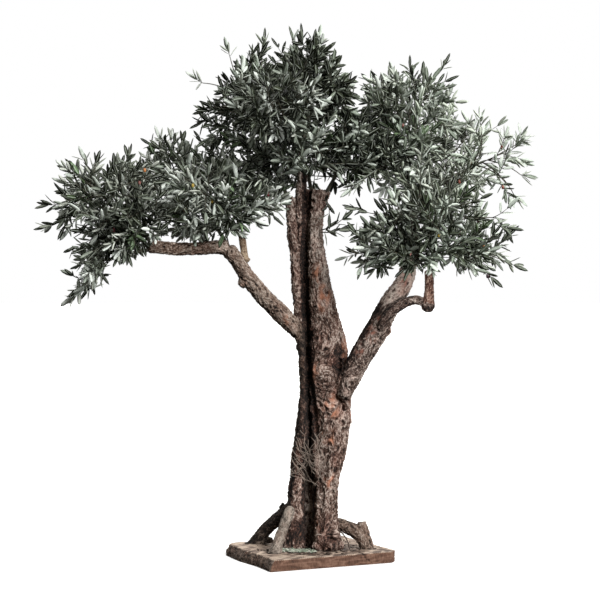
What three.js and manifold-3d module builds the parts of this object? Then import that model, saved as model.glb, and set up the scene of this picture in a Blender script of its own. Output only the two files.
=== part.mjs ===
// Artificial olive tree on a rough-sawn wooden base board.
// Millimetres, +Z up, +X to the right, -Y towards the viewer.
// The origin is the centre of the board's flat underside.
import * as THREE from 'three';
import { mergeVertices } from 'three/addons/utils/BufferGeometryUtils.js';
import Module from 'manifold-3d';

const wasm = await Module();
wasm.setup();

// Driving dimensions of the base board
const boardWidth = 544;
const boardDepth = 488;
const boardThickness = 45;
const boardTurn = 25;
const waneySlope = 20;
const endFacet = 30;

// Clearances between pieces
const seatGap = 0.3;
const spaceGap = 1.5;
const limbGap = 5;

// Driving dimensions of the foliage
const leafLength = 200;
const leafWidth = 72;
const leafThickness = 5;
const leafRootDepth = 3;
const twigBaseRadius = 7;
const twigTipRadius = 5.2;
const stemTipRadius = 8;
const spaceOverhang = 1.15;
const oliveLength = 22;
const oliveWidth = 16;
const bladeGap = 22;
const twigGap = 14;
const leafPlaces = [0.38, 0.5, 0.66, 0.82];
const goldenAngle = Math.PI * (3 - Math.sqrt(5));

const colours = {
  board: 0x94806e,
  bark: 0x5d5049,
  paleBark: 0x85776b,
  tanBark: 0x9c6f4b,
  redBark: 0x7d4a38,
  darkBark: 0x3a302a,
  leaf: 0x55605a,
};

const tree = new THREE.Group();
tree.name = 'olive_tree';

// Turns a closed three.js geometry into a solid
function solidOf(geometry) {
  const bare = geometry.clone();
  bare.deleteAttribute('normal');
  bare.deleteAttribute('uv');
  const merged = mergeVertices(bare, 1e-4);
  return new wasm.Manifold(new wasm.Mesh({
    numProp: 3,
    vertProperties: new Float32Array(merged.attributes.position.array),
    triVerts: new Uint32Array(merged.index.array),
  }));
}

// Turns a solid back into a geometry for a mesh
function geometryOf(solid) {
  const mesh = solid.getMesh();
  const geometry = new THREE.BufferGeometry();
  geometry.setAttribute('position', new THREE.BufferAttribute(mesh.vertProperties, 3));
  geometry.setIndex(new THREE.BufferAttribute(mesh.triVerts, 1));
  geometry.computeVertexNormals();
  return geometry;
}

// Joins solids and keeps the largest body, without any loose scrap
function joinSolids(solids) {
  const whole = wasm.Manifold.union(solids);
  const bodies = whole.decompose();
  bodies.sort((a, b) => b.volume() - a.volume());
  return bodies[0];
}

function addPart(name, solid, colour, roughness) {
  const material = new THREE.MeshStandardMaterial({ color: colour, roughness, metalness: 0 });
  const mesh = new THREE.Mesh(geometryOf(solid), material);
  mesh.name = name;
  tree.add(mesh);
}

// Closed tube through rings of equal count. Its ends are flat, or pointed where tip is given
function skinRings(rings, tip = null) {
  const sides = rings[0].length;
  const positions = [];
  for (const ring of rings) {
    for (const point of ring) positions.push(...point.toArray());
  }
  const index = [];
  for (let row = 0; row + 1 < rings.length; row++) {
    for (let side = 0; side < sides; side++) {
      const next = (side + 1) % sides;
      const a = row * sides + side;
      const b = row * sides + next;
      index.push(a, b, b + sides, a, b + sides, a + sides);
    }
  }
  const last = (rings.length - 1) * sides;
  for (let side = 1; side + 1 < sides; side++) {
    index.push(0, side + 1, side);
    if (!tip) index.push(last, last + side, last + side + 1);
  }
  if (tip) {
    positions.push(...tip.toArray());
    for (let side = 0; side < sides; side++) {
      index.push(last + side, last + ((side + 1) % sides), last + sides);
    }
  }
  const geometry = new THREE.BufferGeometry();
  geometry.setAttribute('position', new THREE.BufferAttribute(new Float32Array(positions), 3));
  geometry.setIndex(index);
  return geometry;
}

// Two directions square to a limb's own direction
function crossFrame(along) {
  const front = new THREE.Vector3(0, -1, 0);
  const right = new THREE.Vector3().crossVectors(front, along);
  if (right.length() < 0.2) right.crossVectors(new THREE.Vector3(0, 0, 1), along);
  right.normalize();
  const out = new THREE.Vector3().crossVectors(along, right).normalize();
  return [right, out];
}

// A ring of points round a centre, square to a direction
function ringAt(centre, along, halfWidth, halfDepth, sides) {
  const [right, out] = crossFrame(along);
  const ring = [];
  for (let side = 0; side < sides; side++) {
    const angle = (2 * Math.PI * side) / sides;
    const point = centre.clone();
    point.addScaledVector(right, halfWidth * Math.cos(angle));
    point.addScaledVector(out, halfDepth * Math.sin(angle));
    ring.push(point);
  }
  return ring;
}

// A limb is a tapering tube through its stations, each [x, y, z, half width, half depth]
function limbCurve(stations) {
  const points = stations.map((station) => new THREE.Vector3(...station.slice(0, 3)));
  return new THREE.CatmullRomCurve3(points, false, 'catmullrom', 0.5);
}

function limbWidths(stations, u) {
  const place = u * (stations.length - 1);
  const from = Math.min(Math.floor(place), stations.length - 2);
  const share = place - from;
  return [3, 4].map((slot) => {
    const start = stations[from][slot] ?? stations[from][3];
    const end = stations[from + 1][slot] ?? stations[from + 1][3];
    return THREE.MathUtils.lerp(start, end, share);
  });
}

function limbSolid(stations, sides, growth = 0) {
  const curve = limbCurve(stations);
  const steps = stations.length - 1;
  const rings = [];
  for (let step = 0; step <= steps; step++) {
    const u = step / steps;
    const centre = curve.getPoint(u);
    const along = curve.getTangent(u);
    if (step === 0) centre.addScaledVector(along, -growth);
    if (step === steps) centre.addScaledVector(along, growth);
    const [halfWidth, halfDepth] = limbWidths(stations, u);
    rings.push(ringAt(centre, along, halfWidth + growth, halfDepth + growth, sides));
  }
  return solidOf(skinRings(rings));
}

// A burr on the bark
function knobSolid(x, y, z, halfWidth, halfDepth, halfHeight, growth = 0) {
  const knob = new THREE.IcosahedronGeometry(1, 1);
  knob.scale(halfWidth + growth, halfDepth + growth, halfHeight + growth);
  knob.translate(x, y, z);
  return solidOf(knob);
}

// Base board: a sawn slab turned on the ground, with one bark-covered side that slopes outwards
function boardOutline(slope) {
  const halfWidth = boardWidth / 2;
  const halfDepth = boardDepth / 2;
  return [
    [-halfWidth + 8 - slope, -halfDepth - slope * 0.2],
    [halfWidth - endFacet, -halfDepth],
    [halfWidth, -halfDepth + endFacet],
    [halfWidth - 14, halfDepth],
    [-halfWidth + 38, halfDepth],
    [-halfWidth + 12 - slope, halfDepth - 34],
    [-halfWidth + 4 - slope * 1.15, 40],
    [-halfWidth + 12 - slope * 0.9, -110],
  ];
}

function buildBoard() {
  const levels = [[0, waneySlope], [boardThickness * 0.45, waneySlope * 0.85], [boardThickness, 0]];
  const rings = levels.map(([height, slope]) => (
    boardOutline(slope).map(([x, y]) => new THREE.Vector3(x, y, height))
  ));
  const geometry = skinRings(rings);
  geometry.rotateZ(THREE.MathUtils.degToRad(boardTurn));
  addPart('base_board', solidOf(geometry), colours.board, 0.85);
}

// Trunk: twisted logs fused from the feet to the fork, with a flat cut on the board
const trunkLogs = {
  right: [
    [74, -42, 20, 60, 64], [66, -30, 112, 54, 62], [58, -12, 212, 46, 60], [60, -4, 312, 50, 66],
    [74, 0, 432, 72, 76], [80, 0, 576, 82, 84], [72, 0, 692, 90, 88], [66, 0, 852, 80, 80],
    [52, -2, 980, 60, 62], [38, -2, 1092, 46, 50], [27, 0, 1212, 35, 42], [22, 2, 1304, 27, 36],
    [27, 2, 1384, 30, 34], [33, 0, 1462, 35, 32],
  ],
  left: [
    [-66, -24, 20, 46, 44], [-63, -18, 112, 42, 42], [-56, -12, 224, 35, 42], [-50, -10, 328, 30, 44],
    [-34, -6, 448, 34, 52], [-20, 0, 588, 27, 52], [-14, 4, 700, 24, 44], [-26, 4, 852, 25, 38],
    [-40, 4, 980, 26, 32], [-51, 4, 1084, 21, 28], [-57, 2, 1176, 20, 26], [-65, 0, 1260, 22, 26],
    [-74, 0, 1344, 21, 24], [-81, 0, 1434, 18, 20],
  ],
  rear: [
    [4, 62, 20, 58, 40], [6, 56, 130, 46, 38], [10, 46, 300, 40, 34], [20, 40, 520, 48, 46],
    [22, 34, 760, 46, 50], [4, 26, 980, 34, 40], [-16, 20, 1160, 22, 30],
  ],
  crown: [
    [-16, 22, 1100, 20, 26], [-30, 20, 1260, 15, 24], [-38, 16, 1420, 17, 22],
    [-32, 12, 1500, 19, 20], [-34, 10, 1640, 14, 14],
  ],
};
const trunkKnobs = [
  [-42, -14, 846, 14, 22, 22],
  [60, -70, 742, 52, 26, 44],
  [128, -40, 560, 38, 34, 52],
];

function trunkSolid(growth = 0) {
  const logs = Object.values(trunkLogs).map((stations) => limbSolid(stations, 10, growth));
  const knobs = trunkKnobs.map((knob) => knobSolid(...knob, growth));
  return joinSolids([...logs, ...knobs]);
}

function cutAtBoard(solid) {
  const height = 200;
  const below = new THREE.BoxGeometry(900, 900, height);
  below.translate(0, 0, boardThickness + seatGap - height / 2);
  return solid.subtract(solidOf(below));
}

// Boughs, arms, stubs and props, each [x, y, z, half width, half depth]
const limbs = {
  left_bough: {
    stations: [
      [-36, -46, 897, 38], [-56, -56, 919, 42], [-119, -64, 980, 36], [-182, -72, 1044, 33],
      [-241, -81, 1113, 32], [-280, -88, 1176, 29], [-318, -95, 1226, 30],
    ],
    knobs: [[-262, -84, 1104, 22, 22, 26]],
    colour: colours.bark,
  },
  left_arm: {
    stations: [
      [-336, -96, 1240, 30], [-372, -103, 1240, 27], [-433, -112, 1235, 25], [-522, -128, 1232, 25],
      [-588, -140, 1238, 26], [-626, -148, 1243, 20],
    ],
    knobs: [[-609, -145, 1262, 14, 14, 20]],
    colour: colours.bark,
  },
  left_stub: {
    stations: [[-254, -87, 1186, 16], [-259, -87, 1210, 14], [-269, -88, 1282, 14]],
    colour: colours.tanBark,
  },
  right_bough: {
    stations: [
      [133, -94, 654, 26], [157, -78, 716, 38], [190, -62, 788, 45], [256, -44, 898, 47],
      [318, -22, 1014, 43], [377, 0, 1108, 35], [405, 20, 1232, 28], [403, 38, 1374, 23],
      [395, 50, 1484, 19],
    ],
    knobs: [[302, -30, 912, 22, 22, 24]],
    colour: colours.bark,
  },
  right_arm: {
    stations: [
      [278, -66, 930, 18], [321, -88, 990, 20], [371, -106, 1020, 19], [408, -118, 1032, 18],
      [440, -126, 1026, 18],
    ],
    knobs: [[462, -132, 1010, 28, 26, 27]],
    colour: colours.bark,
  },
  right_stub: {
    stations: [[464, -132, 1018, 18], [466, -132, 1052, 18], [466, -132, 1140, 19]],
    colour: colours.redBark,
  },
  prop_rear_left: {
    stations: [
      [-76, 22, 200, 24], [-104, 38, 172, 27], [-172, 74, 110, 25], [-244, 110, 18, 26],
    ],
    knobs: [[-112, 36, 198, 11, 11, 13], [-182, 84, 82, 12, 12, 14]],
    colour: colours.darkBark,
  },
  prop_front_left: {
    stations: [
      [-76, -70, 206, 17], [-84, -77, 190, 21], [-108, -106, 128, 20], [-128, -132, 74, 22],
      [-144, -150, 20, 30],
    ],
    colour: colours.paleBark,
  },
  prop_right: {
    stations: [
      [90, -18, 141, 20], [130, -26, 141, 21], [170, -31, 136, 21], [204, -37, 118, 22],
      [224, -43, 84, 22], [236, -48, 20, 27],
    ],
    knobs: [[208, -36, 144, 15, 15, 18]],
    colour: colours.bark,
  },
};

// What each limb stands clear of, in the order in which they are cut
const cutBy = {
  left_bough: ['trunk'],
  left_arm: ['left_bough'],
  left_stub: ['left_bough'],
  right_bough: ['trunk'],
  right_arm: ['right_bough'],
  right_stub: ['right_arm'],
  prop_rear_left: ['trunk'],
  prop_front_left: ['trunk', 'prop_rear_left'],
  prop_right: ['trunk'],
};

function grownLimb(name, growth) {
  if (name === 'trunk') return trunkSolid(growth);
  const { stations, knobs = [] } = limbs[name];
  const shapes = [limbSolid(stations, 10, growth)];
  for (const knob of knobs) shapes.push(knobSolid(...knob, growth));
  return joinSolids(shapes);
}

function buildLimbs() {
  addPart('trunk', cutAtBoard(trunkSolid()), colours.bark, 0.95);
  for (const [name, limb] of Object.entries(limbs)) {
    let solid = grownLimb(name, 0);
    for (const other of cutBy[name]) solid = solid.subtract(grownLimb(other, seatGap));
    if (name.startsWith('prop')) solid = cutAtBoard(solid);
    addPart(name, joinSolids([solid]), limb.colour, 0.95);
  }
}

// Foliage masses. Each keeps to its own space, an ellipsoid cut off half way to its neighbours.
// centre and reach give the ellipsoid, root is where its stem leaves the limb named by limb,
// and tips are its furthest twigs, which give the crown its outline.
const masses = {
  foliage_left_outer: {
    limb: 'left_arm', root: [-612, -146, 1242], centre: [-772, -180, 1410], reach: [296, 270, 214],
    tips: [[-1064, -170, 1402], [-1064, -190, 1300], [-990, -160, 1574], [-690, -170, 1632]],
    twigs: 13, olives: 1, seed: 11,
  },
  foliage_left_droop: {
    limb: 'left_arm', root: [-590, -142, 1232], centre: [-795, -180, 1178], reach: [190, 190, 165],
    tips: [[-955, -180, 1012], [-878, -170, 1032]],
    twigs: 6, olives: 0, seed: 23,
  },
  foliage_left_inner: {
    limb: 'left_stub', root: [-266, -88, 1270], centre: [-400, -120, 1438], reach: [318, 260, 200],
    tips: [[-90, -110, 1490], [-600, -130, 1300], [-490, -130, 1290]],
    twigs: 12, olives: 1, seed: 31,
  },
  foliage_left_back: {
    limb: 'left_bough', root: [-300, -84, 1205], centre: [-560, 330, 1530], reach: [260, 270, 215],
    tips: [[-645, 330, 1748], [-800, 340, 1600]],
    twigs: 9, olives: 0, seed: 43,
  },
  foliage_centre_left: {
    limb: 'trunk', root: [-80, 0, 1415], centre: [-262, 10, 1814], reach: [236, 250, 275],
    tips: [[-493, 10, 1935], [-461, 10, 1782], [-341, 0, 2072], [-170, 10, 2112]],
    twigs: 12, olives: 1, seed: 57,
  },
  foliage_centre_top: {
    limb: 'trunk', root: [-34, 10, 1620], centre: [16, -10, 1856], reach: [186, 240, 262],
    tips: [[-40, -10, 2120], [38, -20, 2113], [139, -20, 1966]],
    twigs: 11, olives: 1, seed: 67,
  },
  foliage_centre_front: {
    limb: 'trunk', root: [-34, 4, 1560], centre: [-125, -320, 1770], reach: [212, 200, 165],
    tips: [[-290, -330, 1700], [40, -330, 1730]],
    twigs: 8, olives: 1, seed: 71,
  },
  foliage_centre_back: {
    limb: 'trunk', root: [12, 12, 1440], centre: [-82, 350, 1838], reach: [240, 260, 232],
    tips: [[-90, 360, 2080]],
    twigs: 9, olives: 0, seed: 83,
  },
  foliage_centre_right: {
    limb: 'trunk', root: [54, -4, 1440], centre: [182, -10, 1640], reach: [190, 240, 200],
    tips: [[60, -60, 1560], [230, -20, 1520]],
    twigs: 8, olives: 0, seed: 89,
  },
  foliage_right_upper: {
    limb: 'right_bough', root: [395, 50, 1470], centre: [400, 40, 1760], reach: [280, 250, 252],
    tips: [[282, 40, 1936], [402, 30, 2006], [564, 40, 2014], [200, 40, 1800]],
    twigs: 12, olives: 1, seed: 97,
  },
  foliage_right_outer: {
    limb: 'right_bough', root: [400, 42, 1400], centre: [694, -10, 1570], reach: [207, 240, 232],
    tips: [[678, 0, 1806], [881, -20, 1690], [897, -10, 1518], [857, -20, 1411]],
    twigs: 10, olives: 1, seed: 101,
  },
  foliage_right_lower: {
    limb: 'right_stub', root: [466, -132, 1128], centre: [495, -215, 1296], reach: [388, 250, 217],
    tips: [[832, -200, 1148], [735, -200, 1092], [96, -190, 1187], [134, -200, 1396], [115, -200, 1303]],
    twigs: 15, olives: 1, seed: 113,
  },
  foliage_right_back: {
    limb: 'right_bough', root: [404, 30, 1310], centre: [569, 350, 1578], reach: [273, 260, 260],
    tips: [[700, 350, 1780]],
    twigs: 9, olives: 0, seed: 127,
  },
};

// Random numbers from a seed, the same in every run
function seeded(seed) {
  let state = seed;
  for (let turn = 0; turn < 3; turn++) state = (state * 16807) % 2147483647;
  return () => {
    state = (state * 16807) % 2147483647;
    return state / 2147483647;
  };
}

const vector = (point) => new THREE.Vector3(...point);

function prepareMass(mass) {
  mass.middle = vector(mass.centre);
  mass.meanReach = (mass.reach[0] + mass.reach[1] + mass.reach[2]) / 3;
  const root = vector(mass.root);
  const away = mass.middle.clone().sub(root);
  const end = mass.middle.clone().addScaledVector(away, 0.3);
  const bend = root.clone().lerp(end, 0.5);
  bend.z += 0.12 * away.length();
  mass.stem = new THREE.QuadraticBezierCurve3(root, bend, end);
  mass.stemRadius = 13;
}

// How far a point lies inside a mass's space, in millimetres: negative outside it
function depthInSpace(mass, point) {
  const offset = point.clone().sub(mass.middle);
  const scaled = Math.hypot(...offset.toArray().map((value, axis) => value / mass.reach[axis]));
  let depth = (spaceOverhang - scaled) * mass.meanReach;
  for (const other of Object.values(masses)) {
    if (other === mass) continue;
    const own = mass.middle.distanceToSquared(point) - mass.meanReach ** 2;
    const theirs = other.middle.distanceToSquared(point) - other.meanReach ** 2;
    const apart = mass.middle.distanceTo(other.middle);
    depth = Math.min(depth, (theirs - own) / (2 * apart) - spaceGap);
  }
  return depth;
}

// Solid wood and the stems of the masses as rows of balls, to keep twigs and leaves clear of them
const obstacles = [];

function addObstacle(owner, curve, radiusAt, steps) {
  for (let step = 0; step <= steps; step++) {
    const u = step / steps;
    obstacles.push({ owner, centre: curve.getPoint(u), radius: radiusAt(u) });
  }
}

function gatherObstacles() {
  for (const stations of Object.values(trunkLogs)) {
    const widest = (u) => Math.max(...limbWidths(stations, u));
    addObstacle('trunk', limbCurve(stations), widest, 90);
  }
  for (const [name, { stations, knobs = [] }] of Object.entries(limbs)) {
    addObstacle(name, limbCurve(stations), (u) => Math.max(...limbWidths(stations, u)), 50);
    for (const [x, y, z, ...sizes] of knobs) {
      obstacles.push({ owner: name, centre: new THREE.Vector3(x, y, z), radius: Math.max(...sizes) });
    }
  }
  for (const [name, mass] of Object.entries(masses)) {
    addObstacle(name, mass.stem, () => mass.stemRadius, 60);
  }
}

function clearOfWood(owner, point, halfWidth) {
  return obstacles.every((ball) => (
    ball.owner === owner || ball.centre.distanceTo(point) > ball.radius + halfWidth + limbGap
  ));
}

// A leaf is a lozenge with a flat back and a ridge, and its root is sunk in the twig
function leafPoints(root, along, flat, length) {
  const size = length / leafLength;
  const side = new THREE.Vector3().crossVectors(along, flat).normalize();
  const up = new THREE.Vector3().crossVectors(side, along).normalize();
  const middle = root.clone().addScaledVector(along, length * 0.44);
  return {
    root: root.clone().addScaledVector(along, -leafRootDepth),
    blade: [
      middle.clone().addScaledVector(side, -leafWidth * size * 0.5),
      middle.clone().addScaledVector(up, leafThickness),
      middle.clone().addScaledVector(side, leafWidth * size * 0.5),
    ],
    tip: root.clone().addScaledVector(along, length),
  };
}

function leafSolid({ root, blade, tip }) {
  const geometry = new THREE.BufferGeometry();
  const positions = [root, ...blade, tip].flatMap((point) => point.toArray());
  geometry.setAttribute('position', new THREE.BufferAttribute(new Float32Array(positions), 3));
  geometry.setIndex([0, 2, 1, 0, 3, 2, 0, 1, 3, 1, 2, 4, 2, 3, 4, 3, 1, 4]);
  return solidOf(geometry);
}

// Points spread over a leaf's blade
function leafProbes({ root, blade, tip }) {
  const [left, , right] = blade;
  const probes = [left, right, tip, left.clone().lerp(tip, 0.5), right.clone().lerp(tip, 0.5)];
  for (const share of [0.3, 0.45, 0.6, 0.8]) probes.push(root.clone().lerp(tip, share));
  return probes;
}

function leafFits(name, mass, points, placed, twigs = []) {
  const farFrom = (rows, point, gap) => (
    rows.every((row) => row.every((other) => other.distanceTo(point) > gap))
  );
  return leafProbes(points).every((point) => (
    depthInSpace(mass, point) > 0
    && clearOfWood(name, point, 6)
    && farFrom(placed, point, bladeGap)
    && farFrom(twigs, point, twigGap)
  ));
}

// The twig's end: towards the target, drawn in until it stands inside the space
function drawnIn(mass, from, target, margin) {
  const end = target.clone();
  for (let step = 0; step < 30 && depthInSpace(mass, end) < margin; step++) {
    end.lerp(from, 0.06);
  }
  return end;
}

// Where the twigs of a mass end: its outline tips, then directions spread evenly round its middle
function twigTargets(mass, random) {
  const targets = mass.tips.map((tip) => mass.middle.clone().lerp(vector(tip), 0.72));
  const rest = mass.twigs - targets.length;
  const turn = random() * 2 * Math.PI;
  for (let i = 0; i < rest; i++) {
    const height = 1 - (2 * (i + 0.5)) / rest;
    const round = Math.sqrt(1 - height * height);
    const angle = turn + i * goldenAngle;
    const level = 0.5 + 0.28 * random();
    const direction = [Math.cos(angle) * round, Math.sin(angle) * round, height];
    const offset = direction.map((value, axis) => value * mass.reach[axis] * level);
    targets.push(mass.middle.clone().add(vector(offset)));
  }
  return targets;
}

// A twig leaves the stem a little below its target and bends towards it
function twigCurve(mass, target, random) {
  let nearest = 0.4;
  let best = Infinity;
  for (let u = 0.4; u <= 1; u += 0.05) {
    const distance = mass.stem.getPoint(u).distanceTo(target);
    if (distance < best && depthInSpace(mass, mass.stem.getPoint(u)) > 10) {
      best = distance;
      nearest = u;
    }
  }
  const u = THREE.MathUtils.clamp(nearest - 0.24 + 0.12 * random(), 0.36, 0.98);
  const foot = mass.stem.getPoint(u);
  const reach = foot.distanceTo(target);
  const bend = foot.clone().lerp(target, 0.5);
  bend.addScaledVector(mass.stem.getTangent(u), reach * 0.16);
  return new THREE.QuadraticBezierCurve3(foot, bend, target);
}

function twigFits(name, mass, curve) {
  for (let step = 2; step <= 12; step++) {
    const point = curve.getPoint(step / 12);
    if (depthInSpace(mass, point) < 6 || !clearOfWood(name, point, 8)) return false;
  }
  return true;
}

function tubeRings(curve, startRadius, endRadius, sides, steps) {
  const rings = [];
  for (let step = 0; step <= steps; step++) {
    const u = step / steps;
    const radius = THREE.MathUtils.lerp(startRadius, endRadius, u);
    rings.push(ringAt(curve.getPoint(u), curve.getTangent(u), radius, radius, sides));
  }
  return rings;
}

// A three-sided twig runs out into the leaf at its tip
function twigSolid(name, mass, curve, placed, random) {
  const rings = tubeRings(curve, twigBaseRadius, twigTipRadius, 3, 2);
  const forward = curve.getTangent(1);
  const [right, out] = crossFrame(forward);
  const flat = out.clone().addScaledVector(right, random() - 0.5);
  for (const size of [1.1, 0.9, 0.7, 0.5, 0.3]) {
    const leaf = leafPoints(curve.getPoint(1), forward, flat, leafLength * size);
    if (!leafFits(name, mass, leaf, placed)) continue;
    return { solid: solidOf(skinRings([...rings, leaf.blade], leaf.tip)), leaf };
  }
  return null;
}

// Side leaves of one twig: each stands out of the middle of one of the twig's three faces
function growLeaves(name, mass, curve, random, placed, others) {
  const wanted = [];
  const start = Math.floor(3 * random());
  for (const [turn, u] of leafPlaces.entries()) {
    const along = curve.getTangent(u);
    const [right, out] = crossFrame(along);
    const angle = (Math.PI / 3) * (1 + 2 * (start + turn));
    const side = right.multiplyScalar(Math.cos(angle)).addScaledVector(out, Math.sin(angle));
    const direction = along.clone().multiplyScalar(0.76).addScaledVector(side, 0.65).normalize();
    const flat = new THREE.Vector3().crossVectors(direction, side).cross(direction).normalize();
    flat.addScaledVector(new THREE.Vector3().crossVectors(direction, side), 0.5 * (random() - 0.5));
    wanted.push([curve.getPoint(u), direction, flat, leafLength * (0.82 + 0.25 * random())]);
  }
  const kept = [];
  for (const [root, direction, face, length] of wanted) {
    for (const size of [1, 0.8, 0.62]) {
      const points = leafPoints(root, direction, face, length * size);
      if (!leafFits(name, mass, points, placed, others)) continue;
      kept.push(leafSolid(points));
      placed.push(leafProbes(points));
      break;
    }
  }
  return kept;
}

// An olive hangs just under a twig and is sunk into it
function oliveSolid(point) {
  const olive = new THREE.IcosahedronGeometry(1, 0);
  olive.scale(oliveWidth / 2, oliveWidth / 2, oliveLength / 2);
  olive.translate(point.x, point.y, point.z - oliveLength / 2 + twigTipRadius * 0.4);
  return solidOf(olive);
}

function growMass(name, mass) {
  const random = seeded(mass.seed);
  const shapes = [solidOf(skinRings(tubeRings(mass.stem, mass.stemRadius, stemTipRadius, 5, 4)))];
  const twigs = [];
  const placed = [];
  for (const target of twigTargets(mass, random)) {
    const end = drawnIn(mass, mass.middle, target, 60);
    const curve = twigCurve(mass, end, random);
    const twig = twigFits(name, mass, curve) && twigSolid(name, mass, curve, placed, random);
    if (!twig) continue;
    shapes.push(twig.solid);
    twigs.push(curve);
    placed.push(leafProbes(twig.leaf));
  }
  for (const curve of twigs) {
    const others = twigs.filter((other) => other !== curve).map((other) => other.getPoints(14));
    shapes.push(...growLeaves(name, mass, curve, random, placed, others));
  }
  for (const curve of twigs.slice(0, mass.olives)) shapes.push(oliveSolid(curve.getPoint(0.64)));
  const whole = wasm.Manifold.union(shapes);
  const cleared = whole.subtract(grownLimb(mass.limb, seatGap));
  addPart(name, joinSolids([cleared]), colours.leaf, 0.7);
}

buildBoard();
buildLimbs();
Object.values(masses).forEach(prepareMass);
gatherObstacles();
for (const [name, mass] of Object.entries(masses)) growMass(name, mass);

export default tree;
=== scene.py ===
# Artificial olive tree on a rough-sawn wooden base board.
# Sizes are in millimetres and turned into metres where a mesh is made.
# +Z is up, +X to the right and -Y towards the viewer.
import math

import bpy
import numpy as np
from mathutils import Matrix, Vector, noise
from mathutils.bvhtree import BVHTree


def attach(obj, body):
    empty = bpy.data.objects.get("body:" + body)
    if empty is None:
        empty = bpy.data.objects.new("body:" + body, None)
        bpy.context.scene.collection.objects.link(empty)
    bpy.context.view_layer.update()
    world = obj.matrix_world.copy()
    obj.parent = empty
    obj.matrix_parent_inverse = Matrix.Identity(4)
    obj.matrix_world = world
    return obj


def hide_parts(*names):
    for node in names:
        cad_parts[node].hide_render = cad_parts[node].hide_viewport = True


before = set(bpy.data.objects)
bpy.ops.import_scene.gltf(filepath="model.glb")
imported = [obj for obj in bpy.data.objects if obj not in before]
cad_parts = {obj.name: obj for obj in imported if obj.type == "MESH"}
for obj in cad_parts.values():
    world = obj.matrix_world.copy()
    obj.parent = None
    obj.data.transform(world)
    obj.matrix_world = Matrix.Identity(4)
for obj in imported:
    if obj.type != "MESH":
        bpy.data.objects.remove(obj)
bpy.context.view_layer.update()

MM = 0.001
GOLDEN_ANGLE = math.pi * (3 - math.sqrt(5))


def add_object(name, data):
    """A new object in the scene, at the origin."""
    made = bpy.data.objects.new(name, data)
    bpy.context.collection.objects.link(made)
    return made


# Camera: level, square to the front of the tree and 6.5 m from it
CAMERA_X = -40
CAMERA_DISTANCE = 6500
CAMERA_HEIGHT = 1032
VIEW_WIDTH = 2400
SENSOR_WIDTH = 36


def add_camera():
    data = bpy.data.cameras.new("camera")
    data.sensor_width = SENSOR_WIDTH
    data.lens = SENSOR_WIDTH * CAMERA_DISTANCE / VIEW_WIDTH
    camera = add_object("camera", data)
    camera.location = Vector((CAMERA_X, -CAMERA_DISTANCE, CAMERA_HEIGHT)) * MM
    camera.rotation_euler = (math.radians(90), 0, 0)
    bpy.context.scene.camera = camera


add_camera()


# Node helpers
def linear(hex_colour):
    """An sRGB hex colour as linear RGBA."""
    values = [int(hex_colour[i : i + 2], 16) / 255 for i in (1, 3, 5)]
    return [((v + 0.055) / 1.055) ** 2.4 if v > 0.04045 else v / 12.92 for v in values] + [1]


def add_node(tree, kind, inputs=None, stops=(), **settings):
    """Adds a shader node, sets its settings and sockets, and links the sockets given to it."""
    node = tree.nodes.new("ShaderNode" + kind)
    for name, value in settings.items():
        setattr(node, name, value)
    for name, value in (inputs or {}).items():
        if isinstance(value, bpy.types.NodeSocket):
            tree.links.new(value, node.inputs[name])
        else:
            node.inputs[name].default_value = value
    for i, (position, colour) in enumerate(stops):
        elements = node.color_ramp.elements
        stop = elements[i] if i < 2 else elements.new(position)
        stop.position = position
        stop.color = linear(colour)
    return node


def new_material(name, **sockets):
    """A material with its Principled shader, whose plain sockets are set here."""
    material = bpy.data.materials.new(name)
    material.use_nodes = True
    tree = material.node_tree
    shader = tree.nodes["Principled BSDF"]
    for socket, value in sockets.items():
        shader.inputs[socket.replace("_", " ")].default_value = value
    material.diffuse_color = shader.inputs["Base Color"].default_value
    return material, tree, shader


# Weathered bark: matt, dark between thin pale wrinkles 5 to 8 mm apart, with mottling 2.6 times as
# wide, a salt and pepper speckle, reddish stains, and red inner bark where flakes came off.
# The speckle is finer in life, and is drawn as coarse as it needs to show.
SPECKLE_MM = 6.5
SPECKLE_SHARE = 0.84
MOTTLE_WIDTHS = 2.6
STAIN_MM = 71.4
STAIN_TINT = "#d9b5aa"
WRINKLE_HEIGHT_MM = 4.5


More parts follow.
